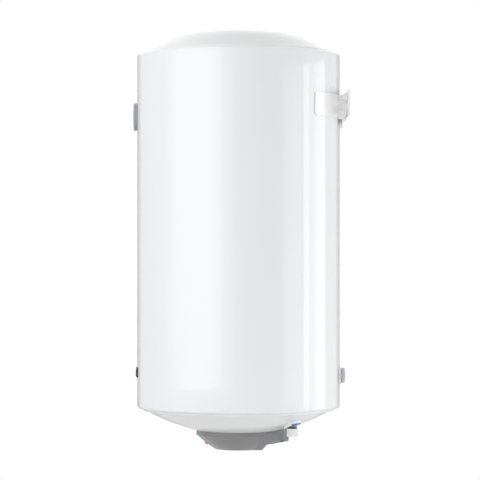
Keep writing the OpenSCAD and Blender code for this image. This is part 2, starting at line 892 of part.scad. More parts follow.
module thermometer_housing() {
  cup_r = dial_r - 2.5;
  color("silver") difference() {
    at_dial() y_rod(dial_r, -face_y, -casing_r + 6);
    tube(casing_r + seat_gap, 100, dial_z - 2 * dial_r, dial_z + 2 * dial_r, $fn = 720);
    at_dial() y_rod(cup_r, -face_y - 1, -face_y + dial_t + seat_gap);
    at_dial() y_rod(probe_r + shaft_gap, -face_y, -casing_r + 10);
  }
}

module thermometer_bezel() {
  lip_r = dial_r - 4;
  groove = dial_r - 2.5;
  color("silver") at_dial() difference() {
    union() {
      y_rod(dial_r, -dial_front + 1, -face_y);
      y_rod(dial_r - 1, -dial_front, -face_y);
    }
    y_rod(lip_r, -dial_front - 1, 0);
    y_rod(groove, -dial_front + 1, 0);
  }
}

module thermometer_dial() {
  color("white") at_dial() difference() {
    y_rod(dial_r - 2.8, -face_y, -face_y + dial_t);
    y_rod(spindle_r + shaft_gap, -face_y - 1, 0);
  }
}

module thermometer_pointer() {
  tip = dial_r - 8;
  front = face_y + 0.9;
  color("red") at_dial() {
    y_rod(spindle_r, -face_y - 1, -face_y + dial_t);
    y_rod(2.6, -front, -front + 0.6);
    rotate([0, -dial_sweep / 2, 0]) translate([0, -front + 0.6, 0]) rotate([90, 0, 0]) linear_extrude(0.6)
      polygon([[-1.2, -7], [1.2, -7], [0.4, tip], [-0.4, tip]]);
  }
}

module thermometer_glass() {
  y0 = dial_front - 1 - seat_gap;
  color("lightcyan", 0.4) at_dial() y_rod(dial_r - 2.8, -y0, -y0 + glass_t);
}

module thermometer_probe() {
  color("sienna") at_dial() y_rod(probe_r, -face_y + dial_t + seat_gap, -tank_r - seat_gap);
}

module badge_plate() {
  color("black") intersection() {
    tube(casing_r + seat_gap + badge_t, casing_r + seat_gap, badge_z - 5, badge_z + badge_h + 5);
    translate([0, 0, badge_z + badge_h / 2]) window(badge_w, badge_h, 3, -casing_r - 20, -100);
  }
}

module badge_inlay() {
  inlay_h = badge_h * 0.58;
  r0 = casing_r + 2 * seat_gap + badge_t;
  color("red") intersection() {
    tube(r0 + 0.7, r0, badge_z - 5, badge_z + badge_h + 5);
    translate([0, 0, badge_z + 2.4 + inlay_h / 2]) window(badge_w - 8, inlay_h, 2, -casing_r - 20, -100);
  }
}

// ---------------------------------------------------------------- wall bracket

strap_r = casing_r + strap_t;
strap_top = plate_z + 19.5;
wall_y = casing_r + wall_gap;
plate_front_y = wall_y - wall_plate_t;

module bracket_strap() {
  color("white") intersection() {
    tube(strap_r, casing_r + seat_gap, strap_top - strap_h, strap_top);
    translate([0, 0, strap_top - strap_h / 2]) window(2 * strap_x, strap_h, 6, 0, casing_r + 20);
  }
}

module wall_plate() {
  color("white") translate([0, wall_y, plate_z]) rotate([90, 0, 0]) linear_extrude(wall_plate_t)
    difference() {
      rounded_rect(plate_w, plate_h, 5);
      for (x = [-1, 1]) translate([x * slot_gap / 2, 0]) slot_outline(slot_l, slot_w);
    }
}

// Side outline of a cheek, from the strap to the wall plate
module cheek_outline(y0) {
  top = plate_z + plate_h / 2 - 1;
  polygon(concat(
    [[y0, foot_z], [y0, strap_top - 0.5]],
    curve([casing_r + 1, strap_top - 0.5], [casing_r + 9, strap_top + 1], [plate_front_y, top], 6),
    [[plate_front_y, foot_z]]
  ));
}

// Lower edge of the cheeks, and the throat and the lip's end of the chute under them
foot_z = plate_z - plate_h / 2 + 6;
throat_z = foot_z - 19;
lip_z = throat_z - 9;
lip_y = casing_r + 3.2;
lip_t = 1.8;
throat_x = cheek_x - 18;

// Wedge under the cheeks, between their feet and the throat, raised by rise and cut off at high
module chute_form(rise, half_w, high) {
  intersection() {
    translate([-half_w, 0, 0]) rotate([90, 0, 90]) linear_extrude(2 * half_w)
      polygon([[lip_y + lip_t, throat_z + rise], [lip_y + lip_t, high], [plate_front_y, high],
               [plate_front_y, foot_z + rise]]);
    translate([0, wall_y, 0]) rotate([90, 0, 0]) linear_extrude(2 * wall_gap)
      chute_front(throat_z + rise, rise, high);
  }
}

// Front outline of the chute: upright to low at the throat's width, then widening to the cheeks
module chute_front(low, rise, high) {
  polygon([[-throat_x, low], [-throat_x, throat_z + rise], [-cheek_x, foot_z + rise], [-cheek_x, high],
           [cheek_x, high], [cheek_x, foot_z + rise], [throat_x, throat_z + rise], [throat_x, low]]);
}

module bracket_hanger() {
  inner = 150;
  rib_r = 4.5;
  color("white") difference() {
    union() {
      // Cheeks with two stiffening ribs pressed outwards
      for (s = [0, 1]) mirror([s, 0, 0]) {
        translate([cheek_x - cheek_t, 0, 0]) rotate([90, 0, 90]) linear_extrude(cheek_t)
          cheek_outline(inner);
        for (z = [5, -17]) translate([cheek_x - 2, 0, plate_z + z])
          y_rod(rib_r, inner, plate_front_y - 1);
      }
      difference() {
        chute_form(0, cheek_x, foot_z + 1);
        chute_form(4, cheek_x - cheek_t, foot_z + 20);
      }
      // Lip that closes the chute behind the drum and hangs below it
      translate([0, lip_y + lip_t, 0]) rotate([90, 0, 0]) linear_extrude(lip_t)
        chute_front(lip_z, 0, foot_z + 1);
    }
    rod(strap_r + eps, strap_top - strap_h, strap_top + 50);
    rod(casing_r + seat_gap, lip_z - 10, casing_h);
  }
}

// ---------------------------------------------------------------- lower spacer

sleeve_r = 8.5;
sleeve_y = casing_r - 24;
rivet_x = 40;
rivet_r = 2;
head_y = saddle_r + saddle_t + slip_gap;
pad_y = head_y + spacer_head;

module at_rivets() {
  for (x = [-1, 1]) translate([x * rivet_x, 0, spacer_z]) children();
}

module spacer_base() {
  color("lightgray") difference() {
    union() {
      intersection() {
        tube(saddle_r + saddle_t, saddle_r, spacer_z - saddle_h, spacer_z + saddle_h);
        translate([0, 0, spacer_z]) window(saddle_w, saddle_h, 5, 0, casing_r + 30);
      }
      translate([0, 0, spacer_z]) y_rod(sleeve_r, sleeve_y, casing_r + 1);
    }
    translate([0, 0, spacer_z]) y_rod(stem_r + shaft_gap, sleeve_y + 2, casing_r + 20);
    at_rivets() y_rod(rivet_r + hole_gap, 100, casing_r + 20);
  }
}

module spacer_rivets() {
  // Where the round drum stands at the rivets
  skin_y = sqrt(casing_r * casing_r - rivet_x * rivet_x);
  color("silver") at_rivets() {
    y_rod(rivet_r, skin_y - 8, skin_y + saddle_t + 2);
    y_rod(rivet_r + 1.6, skin_y + saddle_t + 1.1, skin_y + saddle_t + 2.3);
  }
}

module spacer_screw() {
  ribs = 24;
  color("lightgray") translate([0, 0, spacer_z]) difference() {
    union() {
      y_rod(stem_r, sleeve_y + 2.5, head_y + eps);
      y_rod(spacer_r - 0.8, head_y, pad_y);
      for (i = [0:ribs - 1]) rotate([0, i * 360 / ribs, 0]) translate([0, head_y, spacer_r - 0.8])
        rotate([-90, 0, 0]) cylinder(r = 0.8, h = spacer_head);
    }
    y_rod(3 + shaft_gap, pad_y - 4, pad_y + 1);
  }
}

module spacer_pad() {
  color("gray") translate([0, 0, spacer_z]) {
    y_rod(3, pad_y - 3.5, pad_y + slip_gap + eps);
    y_rod(spacer_r - 2, pad_y + slip_gap, pad_y + slip_gap + 1);
  }
}

in_row_frame() outer_casing();
in_row_frame() top_cap();
in_row_frame() bottom_cap();
in_row_frame() insulation_foam();
in_row_frame() tank_shell();
in_row_frame() tank_top_head();
in_row_frame() tank_bottom_head();
in_row_frame() flange_neck();
in_row_frame() flange_studs();
in_row_frame() flange_gasket();
in_row_frame() flange_plate();
in_row_frame() flange_nuts();
in_row_frame() heating_element();
in_row_frame() sensor_pocket();
in_row_frame() anode_rod();
in_row_frame() anode_nut();
in_row_frame() thermostat_body();
in_row_frame() thermostat_knob();
in_row_frame() reset_button();
in_row_frame() terminal_block();
in_row_frame() wiring_leads();
in_row_frame() cold_pipe();
in_row_frame() cold_diffuser();
in_row_frame() hot_pipe();
in_row_frame() cold_collar();
in_row_frame() hot_collar();
in_row_frame() cold_clip();
in_row_frame() hot_clip();
in_row_frame() cold_transit_cap();
in_row_frame() hot_transit_cap();
in_row_frame() bottom_cover();
in_row_frame() cover_screws();
in_row_frame() pilot_lens();
in_row_frame() pilot_lamp();
in_row_frame() cable_grommet();
in_row_frame() thermometer_housing();
in_row_frame() thermometer_bezel();
in_row_frame() thermometer_dial();
in_row_frame() thermometer_pointer();
in_row_frame() thermometer_glass();
in_row_frame() thermometer_probe();
in_row_frame() badge_plate();
in_row_frame() badge_inlay();
in_row_frame() bracket_strap();
in_row_frame() bracket_hanger();
in_row_frame() wall_plate();
in_row_frame() spacer_base();
in_row_frame() spacer_rivets();
in_row_frame() spacer_screw();
in_row_frame() spacer_pad();
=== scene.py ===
"""Looks of a wall-hung electric water heater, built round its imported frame."""

import functools
import math

import bmesh
import bpy
from mathutils import Matrix, Vector


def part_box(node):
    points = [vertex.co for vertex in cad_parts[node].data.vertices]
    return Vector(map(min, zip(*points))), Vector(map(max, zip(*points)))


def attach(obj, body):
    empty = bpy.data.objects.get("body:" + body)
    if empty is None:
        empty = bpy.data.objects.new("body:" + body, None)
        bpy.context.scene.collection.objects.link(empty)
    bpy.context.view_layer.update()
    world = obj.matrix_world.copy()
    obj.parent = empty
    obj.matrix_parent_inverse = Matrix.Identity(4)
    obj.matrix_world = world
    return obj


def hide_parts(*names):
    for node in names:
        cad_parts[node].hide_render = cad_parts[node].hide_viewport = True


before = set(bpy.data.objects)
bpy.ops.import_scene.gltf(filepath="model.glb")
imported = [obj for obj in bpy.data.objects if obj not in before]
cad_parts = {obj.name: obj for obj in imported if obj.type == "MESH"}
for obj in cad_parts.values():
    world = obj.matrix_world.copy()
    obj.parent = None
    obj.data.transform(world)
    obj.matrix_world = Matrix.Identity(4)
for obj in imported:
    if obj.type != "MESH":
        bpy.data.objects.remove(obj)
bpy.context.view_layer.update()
MM = 0.001

# The drum's axis, on the level of the casing's bottom rim. All sizes are millimetres from there.
casing_low, casing_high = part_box("outer_casing")
DRUM = Vector((0, (casing_low.y + casing_high.y) / 2, casing_low.z))


def on_drum(x, y, z):
    """A point given in millimetres from the drum's axis and bottom rim."""
    return DRUM + Vector((x, y, z)) * MM


def span(node):
    """Lowest and highest corner of a CAD node, in millimetres from the drum."""
    return tuple((corner - DRUM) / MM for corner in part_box(node))


def centre(node, axis):
    """Middle of a CAD node along the x, y or z axis, in millimetres from the drum."""
    low, high = (getattr(corner, axis) for corner in span(node))
    return (high + low) / 2


def extent(node, axis):
    """Length of a CAD node along the x, y or z axis, in millimetres."""
    low, high = (getattr(corner, axis) for corner in span(node))
    return high - low


CASING_R = span("outer_casing")[1].y
CASING_H = span("outer_casing")[1].z
HEART = on_drum(0, 0, CASING_H / 2)
RIM_W = 12
RIM_ROLL = 5
SHEET = 0.8
SEAT = 0.2
CAP_R = CASING_R - RIM_W - SEAT
CAP_WALL = 2.2
CAP_FLANGE = 7


# ---- camera, light, studio


def new_object(name, data):
    """A new object in the scene."""
    item = bpy.data.objects.new(name, data)
    bpy.context.collection.objects.link(item)
    return item


def solid_object(name, bm, *materials):
    """A new object in the scene with the shape of a bmesh, which is then freed."""
    mesh = bpy.data.meshes.new(name)
    bm.to_mesh(mesh)
    bm.free()
    for material in materials:
        mesh.materials.append(material)
    return new_object(name, mesh)


def set_camera():
    """A long lens level with the drum's lower middle, looking at its right side."""
    away, level = 4780, 319
    data = bpy.data.cameras.new("side_camera")
    data.sensor_width = 36
    data.lens = 161
    data.shift_x = 0.0032
    data.shift_y = 0.05
    camera = new_object("side_camera", data)
    camera.location = on_drum(away, 0, level)
    camera.rotation_euler = (math.radians(90), 0, math.radians(90))
    bpy.context.scene.camera = camera


def add_panel(name, from_az, to_az, level, low=-14.5, high=14.5, away=3.0):
    """A light panel that faces the drum. Azimuths are degrees from +X towards +Y, low and high
    are elevations, and level is the panel's radiance."""
    azimuth, rise = math.radians((from_az + to_az) / 2), math.radians((low + high) / 2)
    out = Vector((math.cos(azimuth) * math.cos(rise), math.sin(azimuth) * math.cos(rise), math.sin(rise)))
    data = bpy.data.lights.new(name, "AREA")
    data.shape = "RECTANGLE"
    data.size = 2 * away * math.cos(rise) * math.tan(math.radians(to_az - from_az) / 2)
    data.size_y = 2 * away * math.tan(math.radians(high - low) / 2)
    data.energy = level * math.pi * data.size * data.size_y
    lamp = new_object(name, data)
    lamp.location = HEART + out * away
    lamp.rotation_euler = (HEART - lamp.location).to_track_quat("-Z", "Y").to_euler()
    lamp.visible_camera = False


def add_sheet(name, wide, tall, place, paper):
    """A flat sheet of the studio, moved from the origin by the matrix place. Sizes are metres."""
    bm = bmesh.new()
    bmesh.ops.create_grid(bm, x_segments=1, y_segments=1, size=0.5)
    bmesh.ops.scale(bm, vec=(wide, tall, 1), verts=bm.verts)
    bmesh.ops.transform(bm, matrix=place, verts=bm.verts)
    sheet = solid_object(name, bm, paper)
    return sheet


def add_edge_card(name, azimuth, paper):
    """A grey card beyond the drum, out of sight, that draws a darker line down the drum's edge."""
    wide, tall, away = 1.5, 2.6, 3
    stand = Matrix.Translation(HEART) @ Matrix.Rotation(math.radians(azimuth), 4, "Z")
    upright = Matrix.Rotation(math.radians(90), 4, "Z") @ Matrix.Rotation(math.radians(90), 4, "X")
    place = stand @ Matrix.Translation((away, 0, 0)) @ upright
    add_sheet(name, wide, tall, place, paper).visible_camera = False


def feed(tree, node, inputs):
    """Sets a node's inputs, each to a value or to the output that it is linked to."""
    for key, source in inputs.items():
        if isinstance(source, bpy.types.NodeSocket):
            tree.links.new(source, node.inputs[key])
        else:
            node.inputs[key].default_value = source


def add_node(tree, kind, inputs=None, **values):
    """Adds a shader node with the given inputs and properties, and returns its outputs."""
    node = tree.nodes.new("ShaderNode" + kind)
    for key, value in values.items():
        setattr(node, key, value)
    feed(tree, node, inputs or {})
    return node.outputs


def seen_or_mirrored(tree):
    """1 on camera, glossy and transmission rays, 0 on rays that light the object."""
    path = add_node(tree, "LightPath")
    either = add_node(tree, "Math", {0: path["Is Camera Ray"], 1: path["Is Glossy Ray"]}, operation="MAXIMUM")
    any_of = add_node(tree, "Math", {0: either[0], 1: path["Is Transmission Ray"]}, operation="MAXIMUM")
    return any_of[0]


def set_surroundings(fill):
    """White surroundings that light the object at the given fill level."""
    world = bpy.data.worlds.new("studio")
    bpy.context.scene.world = world
    world.use_nodes = True
    tree = world.node_tree
    tree.nodes.clear()
    white = add_node(tree, "Background", {"Color": (1, 1, 1, 1)})
    soft = add_node(tree, "Background", {"Color": (1, 1, 1, 1), "Strength": fill})
    mix = add_node(tree, "MixShader", {0: seen_or_mirrored(tree), 1: soft[0], 2: white[0]})
    add_node(tree, "OutputWorld", {"Surface": mix[0]})


def floor_paper(grey, glow_share, camera_lift):
    """Paper that glows white where it is seen, keeps a faint shadow and is clear from below."""
    material = bpy.data.materials.new("floor_paper")
    material.use_nodes = True
    tree = material.node_tree
    tree.nodes.clear()
    on_camera = add_node(tree, "LightPath")["Is Camera Ray"]
    bright = add_node(tree, "Math", {0: on_camera, 1: camera_lift, 2: 1}, operation="MULTIPLY_ADD")
    share = add_node(tree, "Math", {0: seen_or_mirrored(tree), 1: glow_share}, operation="MULTIPLY")
    paper = add_node(tree, "BsdfDiffuse", {"Color": (grey, grey, grey, 1)})
    glow = add_node(tree, "Emission", {"Strength": bright[0]})
    lit = add_node(tree, "MixShader", {0: share[0], 1: paper[0], 2: glow[0]})
    below = add_node(tree, "NewGeometry")["Backfacing"]
    clear = add_node(tree, "BsdfTransparent")
    sheet = add_node(tree, "MixShader", {0: below, 1: lit[0], 2: clear[0]})
    add_node(tree, "OutputMaterial", {"Surface": sheet[0]})
    return material


set_camera()
bpy.context.scene.view_settings.view_transform = "Standard"
set_surroundings(fill=0.5)
FLOOR_Z, FLOOR_W = -1230, 14
paper = floor_paper(grey=0.55, glow_share=0.8, camera_lift=0.18)
add_sheet("studio_floor", FLOOR_W, FLOOR_W, Matrix.Translation(on_drum(0, 0, FLOOR_Z)), paper)
# One long soft box on the left, brightest in its middle, and crisp strips on the right.
box_edges = (-84, -75, -62, -50, -38, -28, -18, -6)
box_levels = (0.504, 1.5, 1.86, 2.34, 2.568, 2.16, 0.888)
for i, glow in enumerate(box_levels):
    add_panel(f"left_box_{i}", box_edges[i], box_edges[i + 1], glow, -10, 19)
add_panel("right_front_wash", 50, 73, 1.2)
add_panel("right_narrow_strip", 75.8, 83.75, 3.8)
add_panel("right_between", 84.2, 92.3, 1.5)
add_panel("right_wide_strip", 92.8, 111.6, 2.4)
add_panel("back_wash", 150, 210, 1.0, 15, 50)
above = {"low": 25, "high": 60}
add_panel("high_left", -80, -20, 0.9, **above)
add_panel("high_right", 40, 110, 0.4, **above)
below = {"low": -65, "high": -35, "away": 1.7}
add_panel("low_left", -80, -20, 0.3, **below)
add_panel("low_front", -16, 24, 0.8, **below)
add_panel("low_right", 40, 110, 0.9, **below)

# ---- finishes


GRAIN_DEPTH = 0.0004


def finish(name, colour, roughness, mottle, grain=None, rough_spread=0.05, metal=0.0, coat=0.0,
           coat_rough=0.03, clear=0.0, ior=1.5):
    """A surface whose colour drifts a little, with a fine grain and uneven gloss.

    mottle and grain are each an amount and a texture scale."""
    material = bpy.data.materials.new(name)
    material.use_nodes = True
    tree = material.node_tree
    place = add_node(tree, "TexCoord")["Object"]
    share, scale = mottle
    drift = add_node(tree, "TexNoise", {"Vector": place, "Scale": scale, "Detail": 4})["Fac"]
    darker = (*[c * (1 - share) for c in colour], 1)
    lighter = (*[min(1, c * (1 + share)) for c in colour], 1)
    tint = add_node(tree, "Mix", {"Factor": drift, "A": darker, "B": lighter}, data_type="RGBA")
    gloss = add_node(tree, "MapRange", {
        "Value": drift, "To Min": max(0, roughness - rough_spread), "To Max": roughness + rough_spread})
    surface = tree.nodes["Principled BSDF"]
    feed(tree, surface, {
        "Base Color": tint["Result"], "Roughness": gloss["Result"], "Metallic": metal, "IOR": ior,
        "Coat Weight": coat, "Coat Roughness": coat_rough, "Transmission Weight": clear})
    if grain:
        strength, scale = grain
        pores = add_node(tree, "TexNoise", {"Vector": place, "Scale": scale, "Detail": 3})
        relief = add_node(tree, "Bump", {
            "Strength": strength, "Distance": GRAIN_DEPTH, "Height": pores["Fac"]})
        feed(tree, surface, {"Normal": relief["Normal"]})
    return material


card_paper = finish("card_paper", (0.55, 0.55, 0.55), 0.9, (0.01, 60))
add_edge_card("right_edge_card", 158, card_paper)
add_edge_card("left_edge_card", -160, card_paper)

white_enamel = finish("white_enamel", (0.86, 0.865, 0.88), 0.35, (0.006, 9), (0.02, 140),
                      rough_spread=0.02, coat=0.65, ior=1.42)
cap_plastic = finish("cap_plastic", (0.84, 0.843, 0.85), 0.45, (0.01, 20), (0.05, 900), coat=0.1,
                     coat_rough=0.15, ior=1.32)
foot_cap_plastic = finish("foot_cap_plastic", (0.86, 0.863, 0.87), 0.34, (0.01, 20), (0.05, 900),
                          coat=0.5, coat_rough=0.12)
cover_plastic = finish("cover_plastic", (0.21, 0.212, 0.216), 0.32, (0.03, 45), (0.12, 1400), coat=0.4,
                       coat_rough=0.2)
bracket_paint = finish("bracket_paint", (0.96, 0.96, 0.96), 0.35, (0.008, 25), (0.06, 500), coat=0.5,
                       coat_rough=0.08)
thread_steel = finish("thread_steel", (0.17, 0.17, 0.175), 0.34, (0.12, 240), (0.2, 1800), metal=1.0,
                      rough_spread=0.1)
zinc_steel = finish("zinc_steel", (0.66, 0.66, 0.63), 0.3, (0.08, 200), (0.15, 1200), metal=1.0,
                    rough_spread=0.08)
collar_plastic = finish("collar_plastic", (0.93, 0.93, 0.925), 0.45, (0.015, 90), (0.08, 1500))
plug_plastic = finish("plug_plastic", (0.87, 0.87, 0.87), 0.5, (0.02, 130), (0.1, 1500))
blue_plastic = finish("blue_plastic", (0.05, 0.21, 0.6), 0.4, (0.04, 150), (0.08, 1500))
red_plastic = finish("red_plastic", (0.55, 0.05, 0.04), 0.4, (0.04, 150), (0.08, 1500))
dial_plastic = finish("dial_plastic", (0.36, 0.365, 0.37), 0.3, (0.03, 110), (0.05, 1500))
dial_paper = finish("dial_paper", (0.86, 0.86, 0.84), 0.6, (0.015, 200), (0.05, 1500))
dial_ink = finish("dial_ink", (0.02, 0.02, 0.022), 0.5, (0.05, 400))
pointer_paint = finish("pointer_paint", (0.6, 0.03, 0.02), 0.45, (0.05, 300))
window_plastic = finish("window_plastic", (0.97, 0.985, 0.985), 0.03, (0.003, 50), rough_spread=0.01,
                        clear=1.0, ior=1.47)
badge_black = finish("badge_black", (0.012, 0.012, 0.014), 0.25, (0.1, 90), (0.02, 1500))
badge_red = finish("badge_red", (0.52, 0.11, 0.12), 0.3, (0.05, 90), (0.02, 1500))
lens_plastic = finish("lens_plastic", (0.8, 0.004, 0.005), 0.2, (0.06, 300), rough_spread=0.03, coat=1.0)
black_rubber = finish("black_rubber", (0.025, 0.025, 0.025), 0.65, (0.1, 200), (0.2, 1500))
spacer_plastic = finish("spacer_plastic", (0.68, 0.68, 0.69), 0.42, (0.015, 120), (0.08, 1500))
tank_enamel = finish("tank_enamel", (0.03, 0.06, 0.13), 0.25, (0.15, 70), coat=0.5)
foam_cell = finish("foam_cell", (0.6, 0.5, 0.27), 0.9, (0.15, 160), (0.6, 500))
copper_tube = finish("copper_tube", (0.7, 0.35, 0.2), 0.28, (0.12, 160), metal=1.0)
cast_magnesium = finish("cast_magnesium", (0.42, 0.42, 0.41), 0.55, (0.1, 120), (0.3, 1500), metal=1.0)
black_plastic = finish("black_plastic", (0.02, 0.02, 0.022), 0.4, (0.1, 120), (0.1, 1500))
ivory_plastic = finish("ivory_plastic", (0.74, 0.68, 0.55), 0.4, (0.03, 120), (0.06, 1500))
green_plastic = finish("green_plastic", (0.04, 0.32, 0.09), 0.35, (0.05, 200))
wire_sleeve = finish("wire_sleeve", (0.16, 0.07, 0.03), 0.45, (0.05, 200))
lamp_glass = finish("lamp_glass", (0.95, 0.6, 0.35), 0.08, (0.03, 300), clear=0.8, rough_spread=0.02)

CAD_FINISHES = (
    (foam_cell, "insulation_foam"),
    (tank_enamel, "tank_shell", "tank_top_head", "tank_bottom_head", "flange_neck"),
    (zinc_steel, "flange_studs", "flange_plate", "flange_nuts", "sensor_pocket", "anode_nut"),
    (black_rubber, "flange_gasket"),
    (copper_tube, "heating_element", "thermometer_probe"),
    (cast_magnesium, "anode_rod"),
    (black_plastic, "thermostat_body"),
    (red_plastic, "thermostat_knob"),
    (green_plastic, "reset_button"),
    (ivory_plastic, "terminal_block", "cold_diffuser"),
    (wire_sleeve, "wiring_leads"),
    (lamp_glass, "pilot_lamp"),
)
for material, *carried_over in CAD_FINISHES:
    for node_name in carried_over:
        cad_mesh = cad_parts[node_name].data
        cad_mesh.materials.clear()
        cad_mesh.materials.append(material)

# ---- shaping tools


def make_piece(name, bm, material, stands_for=(), body="heater", crease=30, rounding=0.0, segments=2):
    """Turns a finished bmesh into a piece that rides on a body and stands for CAD nodes."""
    bmesh.ops.remove_doubles(bm, verts=bm.verts, dist=1e-6)
    bmesh.ops.recalc_face_normals(bm, faces=bm.faces)
    piece = solid_object(name, bm, material)
    piece.data.shade_smooth()
    piece.data.set_sharp_from_angle(angle=math.radians(crease))
    if rounding:
        edge = piece.modifiers.new("edges", "BEVEL")
        edge.width = rounding * MM
        edge.segments = segments
        edge.limit_method = "ANGLE"
        edge.angle_limit = math.radians(crease)
        edge.harden_normals = True
    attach(piece, body)
    if stands_for:
        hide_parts(*stands_for)


def spun(profile, heart=(0, 0, 0), axis=(0, 0, 1), steps=128, closed=True):
    """A bmesh turned about an axis through heart from (radius, height) points in millimetres."""
    bm = bmesh.new()
    middle = on_drum(*heart)
    up = Vector(axis)
    out = up.orthogonal().normalized()
    verts = [bm.verts.new(middle + (out * r + up * h) * MM) for r, h in profile]
    ends = verts[1:] + verts[:1] if closed else verts[1:]
    edges = [bm.edges.new(pair) for pair in zip(verts, ends)]
    bmesh.ops.spin(bm, geom=verts + edges, cent=middle, axis=up, dvec=(0, 0, 0), angle=math.tau,
                   steps=steps, use_merge=True)
    bmesh.ops.remove_doubles(bm, verts=bm.verts, dist=1e-7)
    bmesh.ops.recalc_face_normals(bm, faces=bm.faces)
    return bm


def pull(a, b, c, steps=12):
    """Points of a curve from a to c that is pulled towards b."""
    shares = [i / steps for i in range(steps + 1)]
    return [tuple((1 - t) ** 2 * p + 2 * t * (1 - t) * q + t * t * r for p, q, r in zip(a, b, c))
            for t in shares]


def bend(middle, radius, start, end, steps=8):
    """Points of a round bend, angles in degrees."""
    turns = [math.radians(start + (end - start) * i / steps) for i in range(steps + 1)]
    return [(middle[0] + radius * math.cos(t), middle[1] + radius * math.sin(t)) for t in turns]


def rounded_outline(width, height, corner, steps=6):
    """Outline of a rectangle with round corners about its middle."""
    half_w, half_h = width / 2 - corner, height / 2 - corner
    points = []
    for sx, sy, start in ((1, 1, 0), (-1, 1, 90), (-1, -1, 180), (1, -1, 270)):
        points += bend((sx * half_w, sy * half_h), corner, start, start + 90, steps)
    return points


def slab(outline, across, low, high):
    """A bmesh with a closed outline, from low to high along the axis across it.

    The outline's two axes are the other two in the order X, Y, Z."""
    def place(a, b, height):
        spot = [a, b]
        spot.insert("XYZ".index(across), height)
        return spot

    bm = bmesh.new()
    face = bm.faces.new([bm.verts.new(on_drum(*place(a, b, low))) for a, b in outline])
    grown = bmesh.ops.extrude_face_region(bm, geom=[face])
    far = [v for v in grown["geom"] if isinstance(v, bmesh.types.BMVert)]
    bmesh.ops.translate(bm, vec=Vector(place(0, 0, high - low)) * MM, verts=far)
    bmesh.ops.recalc_face_normals(bm, faces=bm.faces)
    return bm


def saw(bm, point, outward):
    """Cuts away all that lies beyond a plane and closes the cut."""
    whole = bm.verts[:] + bm.edges[:] + bm.faces[:]
    bmesh.ops.bisect_plane(bm, geom=whole, dist=1e-7, plane_co=on_drum(*point), plane_no=Vector(outward),
                           clear_outer=True)
    rims = [e for e in bm.edges if len(e.link_faces) == 1]
    if rims:
        bmesh.ops.holes_fill(bm, edges=rims, sides=0)
    return bm


def cylinder(radius, length, place, steps):
    """A round bar about the origin, moved by the matrix place."""
    bm = bmesh.new()
    bmesh.ops.create_cone(bm, cap_ends=True, segments=steps, radius1=radius * MM, radius2=radius * MM,
                          depth=length * MM, matrix=place)
    return bm


def rod(radius, start, end, steps=48):
    """A round bar between two points, as a bmesh."""
    run = Vector(end) - Vector(start)
    spot = on_drum(*((Vector(start) + Vector(end)) / 2))
    place = Matrix.Translation(spot) @ run.to_track_quat("Z", "Y").to_matrix().to_4x4()
    return cylinder(radius, run.length, place, steps)


def blank(bm):
    """A plain object made from a bmesh, for joining and carving."""
    bmesh.ops.recalc_face_normals(bm, faces=bm.faces)
    return solid_object("blank", bm)


def worked(base, joined=(), carved=()):
    """The bmesh of one shape with others joined to it and others then carved out of it."""
    stock = blank(base)
    tools = [(blank(bm), "UNION") for bm in joined] + [(blank(bm), "DIFFERENCE") for bm in carved]
    for tool, how in tools:
        step = stock.modifiers.new(how.lower(), "BOOLEAN")
        step.operation = how
        step.solver = "EXACT"
        step.object = tool
    bpy.context.view_layer.update()
    shape = bmesh.new()
    shape.from_object(stock, bpy.context.evaluated_depsgraph_get())
    for used in [stock] + [tool for tool, how in tools]:
        mesh = used.data
        bpy.data.objects.remove(used)
        bpy.data.meshes.remove(mesh)
    bmesh.ops.remove_doubles(shape, verts=shape.verts, dist=2e-6)
    bmesh.ops.dissolve_degenerate(shape, dist=1e-6, edges=shape.edges)
    return shape


def soften(bm, width, least, segments=3):
    """Rounds the edges of a solid that bend by more than least degrees."""
    edges = [e for e in bm.edges if len(e.link_faces) == 2 and math.degrees(e.calc_face_angle(0)) > least]
    bmesh.ops.bevel(bm, geom=edges, offset=width * MM, offset_type="OFFSET", segments=segments,
                    profile=0.5, affect="EDGES", clamp_overlap=True, material=-1)
    return bm


def rolled_plate(node, corner, inner_r, thick, facing, strips=48, holes=()):
    """A plate with rounded corners, rolled round the drum to the width and height of a CAD node.

    facing is +1 for the wall's side of the drum and -1 for the front. Holes are (x, z, radius)
    about the plate's middle, cut before it is rolled."""
    width = 2 * inner_r * math.asin(extent(node, "x") / 2 / (inner_r + thick))
    outline = rounded_outline(width, extent(node, "z"), corner)
    flat = slab(outline, "Y", 0, 1)
    for v in flat.verts:
        v.co -= DRUM
    across = Matrix.Rotation(math.pi / 2, 4, "X")
    bores = [cylinder(radius, 3, Matrix.Translation(Vector((x, 0.5, z)) * MM) @ across, 32)
             for x, z, radius in holes]
    bm = worked(flat, carved=bores) if bores else flat
    for i in range(1, strips):
        bmesh.ops.bisect_plane(bm, geom=bm.verts[:] + bm.edges[:] + bm.faces[:], dist=1e-7,
                               plane_co=(width * (i / strips - 0.5) * MM, 0, 0), plane_no=(1, 0, 0))
    level = centre(node, "z") * MM
    for v in bm.verts:
        turn = v.co.x / (inner_r * MM)
        r = (inner_r + (thick if v.co.y > 0.5 * MM else 0)) * MM
        v.co = DRUM + Vector((r * math.sin(turn), facing * r * math.cos(turn), level + v.co.z))
    return bm


# ---- casing and caps

DIAL_Z = centre("thermometer_housing", "z")
DIAL_R = extent("thermometer_housing", "x") / 2
DIAL_FRONT = -span("thermometer_bezel")[0].y
SPACER_Z = centre("spacer_pad", "z")
SLEEVE_R = 8.5
RIVET_X = 40
RIVET_R = 2
HOLE = 0.4
PROBE_HOLE_R = 5
PROBE_BAND = 12
SLEEVE_BAND = 13


